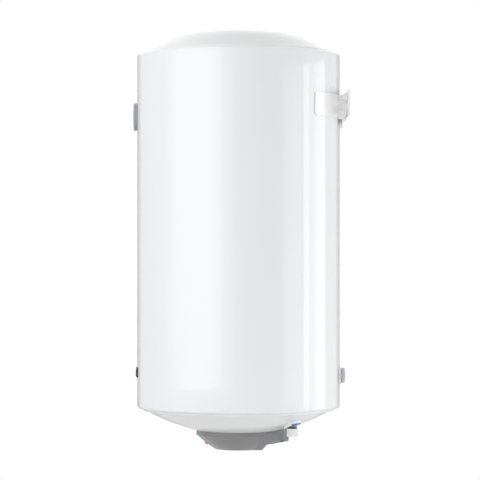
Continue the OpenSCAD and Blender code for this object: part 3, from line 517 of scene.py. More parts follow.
def make_casing():
    """Rolled steel casing with turned-in rims, and its holes for the probe, sleeve and rivets."""
    middle = CASING_R - RIM_ROLL
    top = CASING_H - RIM_ROLL
    inner = RIM_ROLL - SHEET
    bands = [SPACER_Z - SLEEVE_BAND, SPACER_Z + SLEEVE_BAND, DIAL_Z - PROBE_BAND, DIAL_Z + PROBE_BAND]
    profile = [(CASING_R - RIM_W, 0)] + bend((middle, RIM_ROLL), RIM_ROLL, 270, 360)
    profile += [(CASING_R, z) for z in bands]
    profile += bend((middle, top), RIM_ROLL, 0, 90) + [(CASING_R - RIM_W, CASING_H)]
    profile += [(CASING_R - RIM_W, CASING_H - SHEET)] + bend((middle, top), inner, 90, 0)
    profile += [(CASING_R - SHEET, z) for z in reversed(bands)]
    profile += bend((middle, RIM_ROLL), inner, 0, -90) + [(CASING_R - RIM_W, SHEET)]
    probe = rod(PROBE_HOLE_R, (0, -CASING_R - 5, DIAL_Z), (0, -CASING_R + 20, DIAL_Z))
    sleeve = rod(SLEEVE_R + HOLE, (0, CASING_R - 20, SPACER_Z), (0, CASING_R + 5, SPACER_Z))
    rivets = [rod(RIVET_R + HOLE, (x, CASING_R - 60, SPACER_Z), (x, CASING_R + 5, SPACER_Z), 24)
              for x in (-RIVET_X, RIVET_X)]
    bm = worked(spun(profile, steps=256), carved=[probe, sleeve, *rivets])
    make_piece("casing", bm, white_enamel, ["outer_casing"], crease=35)


TOP_RISE = span("top_cap")[1].z - CASING_H
CAP_LIP = 5
BOTTOM_DROP = 50
CAP_HOLE_R = 80
SKIRT_R = 93.5
FLANGE_Z = -SHEET - SEAT


def top_outline(r0, drop):
    """Outside of the top cap from its lip to the middle: an ogee shoulder and a flat crown."""
    rise = TOP_RISE
    points = bend((r0 - 4, CAP_LIP - 4), 4, 0, 60, 6)
    points += pull((r0 * 0.935, CAP_LIP + 1.5), (r0 * 0.87, rise * 0.29), (r0 * 0.775, rise * 0.52))
    points += pull((r0 * 0.74, rise * 0.6), (r0 * 0.58, rise * 0.95), (r0 * 0.44, rise * 0.955), 14)
    points += pull((r0 * 0.4, rise * 0.957), (r0 * 0.2, rise), (0, rise), 10)
    return [(r, z - drop) for r, z in points]


def bottom_outline(r0, drop):
    """Outside of the bottom cap, measured downwards, from its lip to the bottom cover's edge."""
    fall = BOTTOM_DROP
    points = bend((r0 - 4, CAP_LIP - 3), 4, 0, 60, 6)
    points += pull((r0 * 0.94, CAP_LIP + 3), (r0 * 0.82, fall * 0.45), (r0 * 0.68, fall * 0.67), 14)
    points += pull((r0 * 0.65, fall * 0.715), (r0 * 0.53, fall * 0.9), (SKIRT_R, fall), 10)
    return [(r, z - drop) for r, z in points]


PIPE_R = 10.4
PIPE_X = span("cold_pipe")[1].x - PIPE_R
PIPE_Y = centre("cold_pipe", "y")
PIPE_WALL = 2.4
SCREW_HEAD_R = extent("cover_screws", "y") / 2
SCREW_X = span("cover_screws")[1].x - SCREW_HEAD_R
SCREW_Y = centre("cover_screws", "y")
SCREW_R = 1.9
SCREW_SEAT = -60
BOSS_LOW = -43
BOSS_TOP = -27


def on_pipe(x, radius, low, high, steps=48):
    """An upright bar on the axis of the pipe at x."""
    return rod(radius, (x, PIPE_Y, low), (x, PIPE_Y, high), steps)


def on_screws(radius, low, high, steps=32):
    """Upright bars on the axes of both cover screws."""
    return [rod(radius, (x, SCREW_Y, low), (x, SCREW_Y, high), steps) for x in (SCREW_X, -SCREW_X)]


def make_caps():
    """The moulded cap on top, and the one below with its screw bosses and pipe holes."""
    outside = top_outline(CAP_R, 0)
    inside = top_outline(CAP_R - CAP_WALL, CAP_WALL)
    foot = [(CAP_R + CAP_FLANGE, FLANGE_Z - CAP_WALL), (CAP_R + CAP_FLANGE, FLANGE_Z), (CAP_R, FLANGE_Z)]
    profile = inside[::-1] + [(CAP_R - CAP_WALL, FLANGE_Z - CAP_WALL)] + foot + outside
    bm = spun(profile, heart=(0, 0, CASING_H), steps=256, closed=False)
    make_piece("crown_cap", bm, cap_plastic, ["top_cap"], crease=40)

    outside = bottom_outline(CAP_R, 0)
    inside = bottom_outline(CAP_R - CAP_WALL, CAP_WALL)
    edge = BOTTOM_DROP + (SKIRT_R - CAP_HOLE_R) * 0.25
    profile = foot + outside + [(CAP_HOLE_R, edge), (CAP_HOLE_R, edge - CAP_WALL)] + inside[::-1]
    profile.append((CAP_R - CAP_WALL, FLANGE_Z - CAP_WALL))
    shell = spun([(r, -z) for r, z in profile], steps=256)
    bm = worked(shell, joined=on_screws(SCREW_R + 3, BOSS_LOW, BOSS_TOP),
                carved=[on_pipe(x, PIPE_R + HOLE, -80, 0) for x in (PIPE_X, -PIPE_X)]
                + on_screws(SCREW_R + 0.05, -80, BOSS_TOP - 2))
    make_piece("foot_cap", bm, foot_cap_plastic, ["bottom_cap"], crease=40)


make_casing()
make_caps()

# ---- bottom cover

COVER_WALL = 2.2
COVER_DROP = -span("bottom_cover")[0].z
COVER_FLAT_R = 51
COVER_TOP = -20
COLUMN_R = 8
SKIRT_Z = -BOTTOM_DROP - 8.5
TAIL_Y = span("bottom_cover")[1].y
TAIL_X = 56
CREASE_Y = 41
CREASE_X = math.sqrt(SKIRT_R ** 2 - CREASE_Y ** 2)
SHOULDER_Y = TAIL_Y - 6
WALL_LEAN = (CREASE_X - TAIL_X) / (SHOULDER_Y - CREASE_Y)
FACET_X = 39
FACET_ANGLE = 36.5
REAR_Y = 52
REAR_ANGLE = 52
TAIL_START_Y = 63.4
TAIL_DROP = 78.4
TAIL_SLOPE = 8.5
EDGE_DROP = 69.5
EDGE_SLOPE = 5.6
EDGE_LEAN = 50
GROMMET_Z = centre("cable_grommet", "z")
GROMMET_R = 6.6
CABLE_R = 4.6
LENS_R = 5
LENS_AT = Vector((0, -71.6, -79.4))
LENS_LEAN = math.radians(42)
LENS_OUT = Vector((0, -math.sin(LENS_LEAN), -math.cos(LENS_LEAN)))


def slope_down(turn, lean):
    """Outward direction of a floor that leans by an angle towards the heading turn, in degrees."""
    t, a = math.radians(turn), math.radians(lean)
    return Vector((math.cos(t) * math.sin(a), math.sin(t) * math.sin(a), -math.cos(a)))


def cover_outline(inset):
    """Outside of the round part, from above the skirt to the middle of the flat bottom."""
    r, low = SKIRT_R - inset, -COVER_DROP + inset
    skirt = [(0, COVER_TOP + inset), (r, COVER_TOP + inset), (r, SKIRT_Z + 0.4 * inset)]
    turned = pull((r, SKIRT_Z + 0.4 * inset), (r, SKIRT_Z - 2.4 + 0.6 * inset),
                  (r - 3, SKIRT_Z - 3.3 + 0.6 * inset), 5)[1:]
    cone = pull((r - 3, SKIRT_Z - 3.3 + 0.6 * inset), (r - 22.5, SKIRT_Z - 22.5 + inset),
                (COVER_FLAT_R + 1.5 - 0.4 * inset, low + 0.9), 14)[1:]
    flat = [(COVER_FLAT_R - 1 - 0.4 * inset, low + 0.1), (COVER_FLAT_R - 3, low), (0, low)]
    return skirt + turned + cone + flat


def tail_blank(inset):
    """Upright block with the plan of the tail, as deep as the cover."""
    lean = inset * math.sqrt(1 + WALL_LEAN ** 2)
    x0, x1 = CREASE_X - lean, TAIL_X - lean
    half = [(x0, CREASE_Y - 30), (x0, CREASE_Y), (x1, SHOULDER_Y - inset), (x1 - 3, TAIL_Y - inset)]
    plan = half + [(-x, y) for x, y in half[::-1]]
    return slab(plan, "Z", -COVER_DROP + inset, COVER_TOP + inset)


def cut_facets(bm, inset):
    """Cuts the slanted facets that run back along both sides of the flat bottom."""
    for side in (1, -1):
        outward = slope_down(0 if side > 0 else 180, FACET_ANGLE)
        spot = Vector((side * FACET_X, 0, -COVER_DROP)) - outward * inset
        saw(bm, spot, outward)


def cut_lower_edges(bm, inset):
    """Cuts the slanted edges along the foot of the tail's two side walls."""
    lean = math.radians(EDGE_LEAN)
    outward = Vector((math.cos(lean), 0, -math.sin(lean)))
    outward.rotate(Matrix.Rotation(math.atan(WALL_LEAN), 3, "Z"))
    outward.rotate(Matrix.Rotation(math.radians(EDGE_SLOPE), 3, "X"))
    wall_x = CREASE_X - WALL_LEAN * (TAIL_START_Y - CREASE_Y)
    spot = Vector((wall_x, TAIL_START_Y, -EDGE_DROP)) - outward * inset
    for side in (1, -1):
        saw(bm, (side * spot.x, spot.y, spot.z), (side * outward.x, outward.y, outward.z))


def columns(radius, low, high):
    """The cover's two upright screw columns, cut off flush with the tail's end."""
    return [saw(bar, (0, TAIL_Y, 0), (0, 1, 0)) for bar in on_screws(radius, low, high, 48)]


def cover_form(inset, joined=()):
    """The whole cover as one solid, every face moved inwards by inset."""
    core = tail_blank(inset)
    rear_out = slope_down(90, REAR_ANGLE)
    saw(core, Vector((0, REAR_Y, -COVER_DROP)) - rear_out * inset, rear_out)
    cut_facets(core, inset)
    tail = tail_blank(inset)
    floor_out = slope_down(90, TAIL_SLOPE)
    saw(tail, Vector((0, TAIL_START_Y, -TAIL_DROP)) - floor_out * inset, floor_out)
    cut_lower_edges(tail, inset)
    cut_facets(tail, inset)
    flat_part = worked(core, joined=[tail])
    bmesh.ops.dissolve_limit(flat_part, angle_limit=0.001, verts=flat_part.verts, edges=flat_part.edges)
    round_part = spun(cover_outline(inset), steps=192, closed=False)
    saw(round_part, (0, CREASE_Y + 8, 0), (0, 1, 0))
    return worked(worked(flat_part, joined=joined), joined=[round_part])


def above_foot_cap():
    """Everything on the drum's side of the bottom cap's outer face, and a seat's clearance below it."""
    inner = CAP_HOLE_R - 2
    edge = BOTTOM_DROP + (SKIRT_R - inner) * 0.25
    outline = [(0, 40), (CAP_R, 40)] + [(r, -z - SEAT) for r, z in bottom_outline(CAP_R, 0)]
    outline += [(inner, -edge - SEAT), (0, -edge - SEAT)]
    return spun(outline, steps=192, closed=False)


def make_cover():
    """Grey cover of the bottom, with its screw columns and its holes."""
    solid = cover_form(0, columns(COLUMN_R, -EDGE_DROP + 2, COVER_TOP + 0.5))
    soften(solid, 1.0, least=9)
    hollow = worked(cover_form(COVER_WALL), carved=on_screws(COLUMN_R, -80, 5, 48))
    lens_bore = rod(LENS_R - 0.1, LENS_AT - LENS_OUT * 12, LENS_AT + LENS_OUT * 12)
    grommet_bore = rod(GROMMET_R + SEAT, (0, TAIL_Y - 12, GROMMET_Z), (0, TAIL_Y + 5, GROMMET_Z))
    mouth = rod(CAP_HOLE_R - 4, (0, 0, -BOTTOM_DROP - 2), (0, 0, 0), 96)
    shell = worked(worked(solid, carved=[hollow]), carved=[above_foot_cap()])
    bm = worked(shell, carved=[lens_bore, grommet_bore, mouth, *on_screws(SCREW_R + HOLE, -90, 0),
                               *on_screws(SCREW_HEAD_R + HOLE, -90, SCREW_SEAT)])
    make_piece("under_cover", bm, cover_plastic, ["bottom_cover"], crease=25)


make_cover()

# ---- what sits in the cover


def make_cover_fittings():
    """Cross-head screws, the red lens of the pilot lamp and the grommet for the cable."""
    dome = [(0, -2.6)] + bend((0, 2.3), 4.9, -90, -42, 6)[1:] + [(SCREW_HEAD_R, -1.2), (SCREW_HEAD_R, 0)]
    shank = [(SCREW_R, 0), (SCREW_R, 25.5), (SCREW_R - 1.2, 28.8), (0, 29)]
    for side, name in ((1, "right_cover_screw"), (-1, "left_cover_screw")):
        spot = (side * SCREW_X, SCREW_Y, SCREW_SEAT)
        head = spun(dome + shank, heart=spot, steps=40, closed=False)
        cross = [slab([(x + spot[0], y + spot[1]) for x, y in outline], "Z", SCREW_SEAT - 4, SCREW_SEAT - 1)
                 for outline in (rounded_outline(4.6, 0.9, 0.2, 2), rounded_outline(0.9, 4.6, 0.2, 2))]
        make_piece(name, worked(head, carved=cross), zinc_steel, ["cover_screws"])

    lens = [(0, -5), (LENS_R - 0.3, -5), (LENS_R - 0.3, 0.2), (LENS_R, 0.4)]
    lens += pull((LENS_R, 0.5), (LENS_R - 0.4, 1.6), (0, 2.35), 10)
    ridge = spun(lens, heart=tuple(LENS_AT), axis=tuple(LENS_OUT), steps=64, closed=False)
    make_piece("pilot_window", ridge, lens_plastic, ["pilot_lens"], crease=40)

    lip = 8.2
    rear, front = TAIL_Y + 1, TAIL_Y - COVER_WALL - 1.8
    ring = [(CABLE_R, front), (lip - 0.4, front), (lip, front + 0.4), (lip, front + 1.2),
            (lip - 0.4, front + 1.6), (GROMMET_R, front + 1.6), (GROMMET_R, TAIL_Y + SEAT),
            (lip - 0.1, TAIL_Y + SEAT)]
    ring += bend((lip - 0.4, rear - 0.4), 0.4, 0, 90, 4)
    ring += [(CABLE_R + 1.2, rear), (CABLE_R + 0.5, rear - 0.5), (CABLE_R, rear - 0.6)]
    sleeve = spun(ring, heart=(0, 0, GROMMET_Z), axis=(0, 1, 0), steps=72)
    make_piece("cable_sleeve", sleeve, black_rubber, ["cable_grommet"], crease=40)


# ---- pipes

THREAD_PITCH = 1.814
THREAD_DEPTH = 0.85
PIPE_DOME = 28.5765
COLLAR_R = 18
COLLAR_Z = -PIPE_DOME - 4.2
CLIP_R = 19.2
CLIP_T = 2.2
CLIP_Z = -PIPE_DOME - 3.3
CLIP_PAST = 2
FOOT_OUT = 0.12
COLLAR_TO_WALL = 0.426
CLIP_TO_WALL = 0.16


def threaded_bar(x, low, high):
    """A bar with a screw thread, its wavy outline turned as it climbs."""
    bm = bmesh.new()
    steps = 48
    outline = []
    z = low - THREAD_PITCH
    while z < high + THREAD_PITCH:
        outline += [(PIPE_R - THREAD_DEPTH, z), (PIPE_R - THREAD_DEPTH, z + 0.15 * THREAD_PITCH),
                    (PIPE_R, z + 0.5 * THREAD_PITCH), (PIPE_R, z + 0.65 * THREAD_PITCH)]
        z += THREAD_PITCH
    verts = [bm.verts.new(on_drum(x + r, PIPE_Y, h)) for r, h in outline]
    edges = [bm.edges.new(pair) for pair in zip(verts, verts[1:])]
    bmesh.ops.spin(bm, geom=verts + edges, cent=on_drum(x, PIPE_Y, 0), axis=(0, 0, 1),
                   dvec=(0, 0, THREAD_PITCH * MM / steps), angle=math.tau, steps=steps)
    bmesh.ops.remove_doubles(bm, verts=bm.verts, dist=5e-6)
    saw(bm, (0, 0, low), (0, 0, -1))
    saw(bm, (0, 0, high), (0, 0, 1))
    bmesh.ops.recalc_face_normals(bm, faces=bm.faces)
    return bm


def collar_slope(side, towards_wall):
    """Outward direction of a lower face that rises away from the drum's middle."""
    return Vector((side * FOOT_OUT, towards_wall, -1)).normalized()


def make_pipe(heat, side):
    """A steel pipe with its screw thread, bored through."""
    x = side * PIPE_X
    node = f"{heat}_pipe"
    low, high = span(node)
    thread_top = -PIPE_DOME - 6
    bar = threaded_bar(x, low.z, thread_top)
    plain = on_pipe(x, PIPE_R, thread_top - 0.5, high.z, 64)
    bore = on_pipe(x, PIPE_R - PIPE_WALL, low.z - 5, high.z + 5, 64)
    name = "cold_inlet" if side > 0 else "hot_outlet"
    make_piece(name, worked(bar, joined=[plain], carved=[bore]), thread_steel, [node],
               crease=35)


def make_collar(heat, side):
    """White bush with a slanted foot, and the coloured clip pressed into it."""
    x = side * PIPE_X
    foot = Vector((x, PIPE_Y, COLLAR_Z))
    bush = soften(saw(on_pipe(x, COLLAR_R, -58, -10, 96), foot, collar_slope(side, COLLAR_TO_WALL)), 0.7, 30)
    clip_out = collar_slope(side, CLIP_TO_WALL)
    heart = Vector((x, PIPE_Y, CLIP_Z))

    def half_ring(radius, thick):
        ring = rod(radius, heart - clip_out * thick / 2, heart + clip_out * thick / 2, 96)
        return saw(ring, (x, PIPE_Y - CLIP_PAST, CLIP_Z), (0, -1, 0))

    def passage():
        return [on_pipe(x, PIPE_R + HOLE, -61, -9, 64), above_foot_cap()]

    shape = worked(bush, carved=passage() + [half_ring(CLIP_R + 1, CLIP_T + 2 * SEAT)])
    make_piece(f"{heat}_bush", shape, collar_plastic, [f"{heat}_collar"])
    shape = worked(soften(half_ring(CLIP_R, CLIP_T), 0.5, 30), carved=passage())
    colour, slot = (blue_plastic, "blue_plastic") if side > 0 else (red_plastic, "red_clip_plastic")
    make_piece(f"{heat}_marker", shape, colour, [f"{heat}_clip"])


def make_plug(heat, side):
    """Push-on transit cap with a fluted skirt between two smooth rims."""
    node = f"{heat}_transit_cap"
    low, high = span(node)
    x = side * PIPE_X
    outer = extent(node, "x") / 2
    tall = extent(node, "z")
    flutes = 24
    skirt = on_pipe(x, outer - 0.1, low.z + 2.2, high.z - 3, 2 * flutes)
    walls = [f for f in skirt.faces if abs(f.normal.z) < 0.5]
    walls.sort(key=lambda f: math.atan2(f.normal.y, f.normal.x))
    bmesh.ops.inset_individual(skirt, faces=walls[::2], thickness=0.25 * MM, depth=-0.5 * MM)
    bore_r = PIPE_R + 0.3
    foot = [(0, 0.25), (outer - 3.5, 0.25), (outer - 2.2, 0)] + bend((outer - 0.8, 0.8), 0.8, -90, 0, 4)
    foot += [(outer, 2.0), (outer - 0.6, 2.4), (outer - 0.6, tall - 3.3), (outer, tall - 2.8)]
    rim = bend((outer - 0.5, tall - 0.5), 0.5, 0, 90, 4)
    profile = foot + rim + [(bore_r + 0.3, tall), (bore_r, tall - 0.4), (bore_r, 1.6), (0, 1.6)]
    shell = spun(profile, heart=(x, PIPE_Y, low.z), steps=96, closed=False)
    bore = on_pipe(x, bore_r, low.z + 1.6, high.z + 3, 96)
    shape = worked(shell, joined=[worked(skirt, carved=[bore])])
    make_piece(f"{heat}_plug_cap", shape, plug_plastic, [node], body=f"{heat}_plug", crease=35)


# ---- thermometer and badge

BEZEL_D = 3.6
DIAL_FACE = DIAL_FRONT - BEZEL_D
DIAL_T = 0.6
DIAL_SWEEP = 240
TO_FRONT = (0, -1, 0)
PROBE_R = 3.55
INLAY_T = 0.7


def dial_point(radius, degrees, y):
    """A point on the dial, degrees clockwise from the top as seen from the front."""
    turn = math.radians(degrees)
    return on_drum(radius * math.sin(turn), y, DIAL_Z + radius * math.cos(turn))


def make_thermometer():
    """Round housing, rolled bezel, printed dial, pointer and window."""
    heart = (0, 0, DIAL_Z)
    turned = functools.partial(spun, heart=heart, axis=TO_FRONT)
    back = CASING_R - 8
    skirt = [(0, back), (DIAL_R - 0.6, back), (DIAL_R - 0.6, DIAL_FACE - 2.6)]
    skirt += [(DIAL_R, DIAL_FACE - 1.8), (DIAL_R, DIAL_FACE - 0.05), (DIAL_R - 2.5, DIAL_FACE - 0.05)]
    skirt += [(DIAL_R - 2.5, DIAL_FACE - DIAL_T - SEAT), (0, DIAL_FACE - DIAL_T - SEAT)]
    drum_r, hollow_r = CASING_R + SEAT, 100
    over, under = DIAL_Z + 2 * DIAL_R, DIAL_Z - 2 * DIAL_R
    drum_side = [(drum_r, over), (drum_r, under), (hollow_r, under), (hollow_r, over)]
    probe = rod(PROBE_R, (0, -DIAL_FACE - 2, DIAL_Z), (0, -CASING_R + 10, DIAL_Z), 32)
    cup = worked(turned(skirt, closed=False), carved=[spun(drum_side, steps=512), probe])
    make_piece("dial_case", cup, dial_plastic, ["thermometer_housing"], crease=35)

    lip, groove = DIAL_R - 4, DIAL_R - 2.5
    ring = [(DIAL_R, DIAL_FACE)] + bend((DIAL_R - 1.6, DIAL_FRONT - 1.6), 1.6, 0, 90, 8)
    ring += pull((DIAL_R - 2.4, DIAL_FRONT), (lip + 0.2, DIAL_FRONT - 0.1), (lip, DIAL_FRONT - 0.9), 5)
    ring += [(lip, DIAL_FRONT - 1), (groove, DIAL_FRONT - 1), (groove, DIAL_FACE)]
    make_piece("dial_bezel", turned(ring), dial_plastic, ["thermometer_bezel"], crease=40)

    disc = [(0.85, DIAL_FACE - DIAL_T), (DIAL_R - 2.8, DIAL_FACE - DIAL_T), (DIAL_R - 2.8, DIAL_FACE - 0.06),
            (DIAL_R - 2.9, DIAL_FACE), (0.85, DIAL_FACE)]
    make_piece("dial_card", turned(disc, steps=96), dial_paper, ["thermometer_dial"], crease=40)
    make_dial_print()

    front = DIAL_FACE + 0.9
    tip = DIAL_R - 8
    start = -DIAL_SWEEP / 2
    hub = [(0, front - 2.5), (0.8, front - 2.5), (0.8, front - 0.6), (2.6, front - 0.6), (2.6, front - 0.3)]
    hub += pull((2.6, front - 0.25), (2.4, front), (0, front), 6)
    boss = turned(hub, steps=48, closed=False)
    blade_line = [(-1.1, -7), (1.1, -7), (0.9, 0), (0.35, tip - 1.5), (0, tip), (-0.35, tip - 1.5), (-0.9, 0)]
    blade = slab([(x, z + DIAL_Z) for x, z in blade_line], "Y", -front + 0.15, -front + 0.55)
    bmesh.ops.rotate(blade, cent=on_drum(*heart), matrix=Matrix.Rotation(math.radians(start), 3, "Y"),
                     verts=blade.verts)
    make_piece("dial_pointer", worked(boss, joined=[blade]), pointer_paint,
               ["thermometer_pointer"], body="pointer")

    glass_y = DIAL_FRONT - 1 - SEAT
    pane = [(0, glass_y - 0.9), (DIAL_R - 2.8, glass_y - 0.9), (DIAL_R - 2.8, glass_y - 0.1)]
    pane += pull((DIAL_R - 3, glass_y), (DIAL_R - 12, glass_y + 0.02), (0, glass_y), 8)
    make_piece("dial_window", turned(pane, steps=96, closed=False), window_plastic,
               ["thermometer_glass"], crease=40)


def make_dial_print():
    """Scale of ticks, figures and a two-colour band, printed on the card."""
    print_y = -DIAL_FACE - 0.07
    figure_r, band_inner, band_outer = DIAL_R - 14.2, DIAL_R - 5.3, DIAL_R - 4.3
    marks = bmesh.new()
    ticks = 16
    for i in range(ticks + 1):
        long_tick = i % 2 == 0
        turn = DIAL_SWEEP * (i / ticks - 0.5)
        size = (0.55 if long_tick else 0.3, 0.1, 3.4 if long_tick else 2.0)
        place = Matrix.Translation(dial_point(DIAL_R - 7.6 - size[2] / 2 + 1.7, turn, print_y + 0.03))
        spin = Matrix.Rotation(math.radians(turn), 4, "Y")
        bmesh.ops.create_cube(marks, size=MM, matrix=place @ spin @ Matrix.Diagonal((*size, 1)))
    bmesh.ops.remove_doubles(marks, verts=marks.verts, dist=1e-7)
    make_piece("dial_ticks", marks, dial_ink)

    figures = bmesh.new()
    for i, figure in enumerate(("0", "20", "40", "60", "80")):
        text = bpy.data.curves.new("figure", "FONT")
        text.body = figure
        text.size = 4.2 * MM
        text.extrude = 0.03 * MM
        text.align_x = text.align_y = "CENTER"
        text.resolution_u = 3
        sign = new_object("figure", text)
        bpy.context.view_layer.update()
        shape = sign.to_mesh()
        spot = dial_point(figure_r, DIAL_SWEEP * (i / 4 - 0.5), print_y + 0.03)
        shape.transform(Matrix.Translation(spot) @ Matrix.Rotation(math.pi / 2, 4, "X"))
        figures.from_mesh(shape)
        sign.to_mesh_clear()
        bpy.data.objects.remove(sign)
        bpy.data.curves.remove(text)
    make_piece("dial_figures", figures, dial_ink)

    for name, paint, low, high in (("dial_cool_band", blue_plastic, -DIAL_SWEEP / 2, 0),
                                   ("dial_warm_band", pointer_paint, 0, DIAL_SWEEP / 2)):
        band = bmesh.new()
        corners = [dial_point(r, low + 0.5, y) for r, y in (
            (band_inner, print_y), (band_outer, print_y),
            (band_outer, print_y + 0.05), (band_inner, print_y + 0.05))]
        start = band.faces.new([band.verts.new(c) for c in corners])
        bmesh.ops.spin(band, geom=[start], cent=on_drum(0, print_y, DIAL_Z), axis=(0, 1, 0),
                       dvec=(0, 0, 0), angle=math.radians(high - low - 1), steps=48)
        make_piece(name, band, paint, crease=40)


def make_badge():
    """Blank badge: a black plate and a red inlay, both rolled to the drum."""
    r = CASING_R + SEAT
    badge_t = -span("badge_plate")[0].y - r
    plate = rolled_plate("badge_plate", 3, r, badge_t, -1, strips=32)
    make_piece("badge_base", plate, badge_black, ["badge_plate"], rounding=0.6, segments=3)
    inlay = rolled_plate("badge_inlay", 2, r + badge_t + SEAT, INLAY_T, -1, strips=32)
    make_piece("badge_field", inlay, badge_red, ["badge_inlay"], rounding=0.25)


# ---- wall bracket

STRAP_T = 2.5
STRAP_R = CASING_R + STRAP_T
PLATE_Z = centre("wall_plate", "z")
PLATE_H = extent("wall_plate", "z")
PLATE_FRONT, WALL_Y = (corner.y for corner in span("wall_plate"))
CHEEK_X = 60
CHEEK_T = 2.5
RIB_R = 4.5
RIB_LEVELS = (5, -17)
RIB_INSET = 2
STRAP_FOOT, STRAP_TOP = (corner.z for corner in span("bracket_strap"))
FOOT_Z = PLATE_Z - PLATE_H / 2 + 6
THROAT_Z = FOOT_Z - 19
LIP_Z = span("bracket_hanger")[0].z
LIP_Y = CASING_R + 3.2
LIP_T = 1.8
THROAT_X = CHEEK_X - 18
SLOT_GAP, SLOT_W, SLOT_L = 160, 11, 24
TOE_ROOT, TOE_DROP = 6, 12.5


def chute_wedge(rise, half_w, high, front):
    """Wedge under the cheeks, narrowing to the throat and leaning back to the lip."""
    fall = (FOOT_Z - THROAT_Z) / (PLATE_FRONT - LIP_Y - LIP_T)
    front_z = THROAT_Z + rise + fall * (front - LIP_Y - LIP_T)
    side = [(front, front_z), (front, high), (PLATE_FRONT, high), (PLATE_FRONT, FOOT_Z + rise)]
    bm = slab(side, "X", -half_w, half_w)
    spread = Vector((CHEEK_X - THROAT_X, FOOT_Z - THROAT_Z))
    for s in (1, -1):
        saw(bm, (s * THROAT_X, 0, THROAT_Z + rise), (s * spread.y, 0, -spread.x))
    return bm


def make_bracket():
    """Strap round the drum, hanger with two ribbed cheeks and a chute, and the slotted wall plate."""
    strap = rolled_plate("bracket_strap", 6, CASING_R + SEAT, STRAP_T - SEAT, 1, strips=96)
    make_piece("drum_strap", strap, bracket_paint, ["bracket_strap"], rounding=1.15,
               segments=4)

    inner = CASING_R - 75
    crest = pull((CASING_R + 1, STRAP_TOP - 0.5), (CASING_R + 9, STRAP_TOP + 1),
                 (PLATE_FRONT, PLATE_Z + PLATE_H / 2 - 1), 10)
    toe = [(inner, FOOT_Z - TOE_ROOT), (LIP_Y + LIP_T, FOOT_Z - TOE_DROP), (LIP_Y + LIP_T + 1.5, FOOT_Z)]
    cheek = toe + [(PLATE_FRONT, FOOT_Z)] + crest[::-1] + [(inner, STRAP_TOP - 0.5)]
    half = [(THROAT_X, LIP_Z), (THROAT_X, THROAT_Z), (CHEEK_X, FOOT_Z), (CHEEK_X, FOOT_Z + 1.2)]
    parts = [slab(half + [(-x, z) for x, z in half[::-1]], "Y", LIP_Y, LIP_Y + LIP_T)]
    for s in (1, -1):
        near, far = sorted((s * (CHEEK_X - CHEEK_T), s * CHEEK_X))
        parts.append(soften(slab(cheek, "X", near, far), 0.6, segments=2, least=40))
        rib_x = s * (CHEEK_X - RIB_INSET)
        for z in RIB_LEVELS:
            rib = rod(RIB_R, (rib_x, inner, PLATE_Z + z), (rib_x, PLATE_FRONT - 1, PLATE_Z + z), 40)
            parts.append(soften(rib, 0.8, least=40))
    shape = worked(chute_wedge(0, CHEEK_X, FOOT_Z + 1, LIP_Y + LIP_T - 0.5),
                   carved=[chute_wedge(4, CHEEK_X - CHEEK_T, FOOT_Z + 20, LIP_Y - 1)])
    for part in parts:
        shape = worked(shape, joined=[part])
    shape = worked(shape, carved=[rod(STRAP_R + 0.01, (0, 0, STRAP_FOOT), (0, 0, STRAP_TOP + 50), 360)])
    bm = worked(shape, carved=[rod(CASING_R + SEAT, (0, 0, LIP_Z - 10), (0, 0, STRAP_FOOT + 1), 360)])
    make_piece("hanger", bm, bracket_paint, ["bracket_hanger"])

    outline = [(x, z + PLATE_Z) for x, z in rounded_outline(extent("wall_plate", "x"), PLATE_H, 5)]
    plate = slab(outline, "Y", PLATE_FRONT, WALL_Y)
    slot = rounded_outline(SLOT_L, SLOT_W, SLOT_W / 2 - 0.01, 10)
    slots = [slab([(x + s * SLOT_GAP / 2, z + PLATE_Z) for x, z in slot], "Y", PLATE_FRONT - 2, WALL_Y + 2)
             for s in (1, -1)]
    make_piece("wall_rail", worked(plate, carved=slots), bracket_paint, ["wall_plate"],
               rounding=0.6, segments=3)


# ---- lower spacer

SADDLE_R = CASING_R + SEAT
SADDLE_T = 3
SPACER_R = 16.9
STEM_R = 5.95
HEAD_Y = SADDLE_R + SADDLE_T + 0.3
PAD_Y = span("spacer_screw")[1].y
TO_WALL = (0, 1, 0)


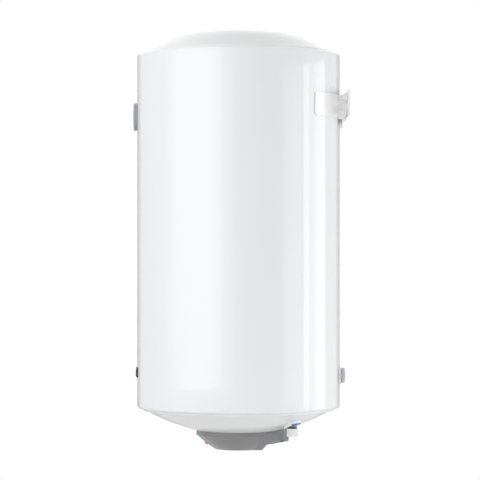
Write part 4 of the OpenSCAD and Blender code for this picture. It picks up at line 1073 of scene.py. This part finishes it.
def make_spacer():
    """Saddle riveted to the drum, ribbed head on its threaded stem, and the pad that meets the wall."""
    heart = (0, 0, SPACER_Z)
    turned = functools.partial(spun, heart=heart, axis=TO_WALL, closed=False)
    turn = SADDLE_R * math.asin(RIVET_X / (SADDLE_R + SADDLE_T / 2))
    holes = [(0, 0, STEM_R + HOLE), (turn, 0, RIVET_R + HOLE), (-turn, 0, RIVET_R + HOLE)]
    saddle = rolled_plate("spacer_base", 5, SADDLE_R, SADDLE_T, 1, holes=holes)
    make_piece("spacer_saddle", saddle, spacer_plastic, ["spacer_base"], rounding=0.5)
    tube = [(STEM_R + 0.05, CASING_R - 22), (STEM_R + 0.05, CASING_R + 1), (SLEEVE_R, CASING_R + 1),
            (SLEEVE_R, CASING_R - 24), (0, CASING_R - 24), (0, CASING_R - 22)]
    make_piece("spacer_sleeve", turned(tube, steps=64), spacer_plastic, ["spacer_base"],
               crease=35)

    skin = math.sqrt(CASING_R ** 2 - RIVET_X ** 2)
    seat = skin + SADDLE_T + 1.1
    rivet = [(0, skin - 8), (RIVET_R - 0.5, skin - 8), (RIVET_R, skin - 7.5), (RIVET_R, seat),
             (RIVET_R + 1.6, seat)]
    rivet += pull((RIVET_R + 1.6, seat + 0.15), (RIVET_R + 1.2, seat + 1.2), (0, seat + 1.2), 6)
    left, right = (spun(rivet, heart=(x, 0, SPACER_Z), axis=TO_WALL, steps=32, closed=False)
                   for x in (-RIVET_X, RIVET_X))
    make_piece("spacer_rivet_pair", worked(left, joined=[right]), zinc_steel,
               ["spacer_rivets"], crease=35)

    ribs = 24
    outline = []
    for i in range(ribs):
        middle = math.tau * i / ribs
        root, crown = SPACER_R - 1.1, SPACER_R
        for share, r in ((-0.5, root), (-0.26, root), (-0.13, crown - 0.12), (0, crown), (0.13, crown - 0.12),
                         (0.26, root)):
            a = middle + share * math.tau / ribs
            outline.append((r * math.sin(a), SPACER_Z + r * math.cos(a)))
    head = soften(slab(outline, "Y", HEAD_Y, PAD_Y), 0.35, segments=2, least=60)
    stem = [(0, CASING_R - 21.5), (STEM_R - 1, CASING_R - 21.5), (STEM_R, CASING_R - 20.5),
            (STEM_R, HEAD_Y + 1), (0, HEAD_Y + 1)]
    socket = rod(3.05, (0, PAD_Y - 4, SPACER_Z), (0, PAD_Y + 1, SPACER_Z), 32)
    dish = [(0, PAD_Y - 0.6), (SPACER_R - 4, PAD_Y - 0.6), (SPACER_R - 3.4, PAD_Y + 1), (0, PAD_Y + 1)]
    bm = worked(head, joined=[turned(stem, steps=64)], carved=[socket, turned(dish, steps=64)])
    make_piece("spacer_wheel", bm, spacer_plastic, ["spacer_screw"], body="spacer_turner",
               crease=35)

    edge = span("spacer_pad")[1].y
    foot = [(0, PAD_Y - 3.5), (2.5, PAD_Y - 3.5), (3, PAD_Y - 3), (3, PAD_Y + 0.3),
            (SPACER_R - 2.2, PAD_Y + 0.3), (SPACER_R - 2, PAD_Y + 0.5)]
    foot += bend((SPACER_R - 2.5, edge - 0.5), 0.5, 0, 90, 4)
    foot += [(SPACER_R - 6, edge), (SPACER_R - 6.6, edge - 0.4), (0, edge - 0.4)]
    make_piece("spacer_foot", turned(foot, steps=72), spacer_plastic, ["spacer_pad"],
               body="spacer_end", crease=35)


make_cover_fittings()
# The cold side is on +X, the hot side on -X.
for make in (make_pipe, make_collar, make_plug):
    make("cold", 1)
    make("hot", -1)
make_thermometer()
make_badge()
make_bracket()
make_spacer()
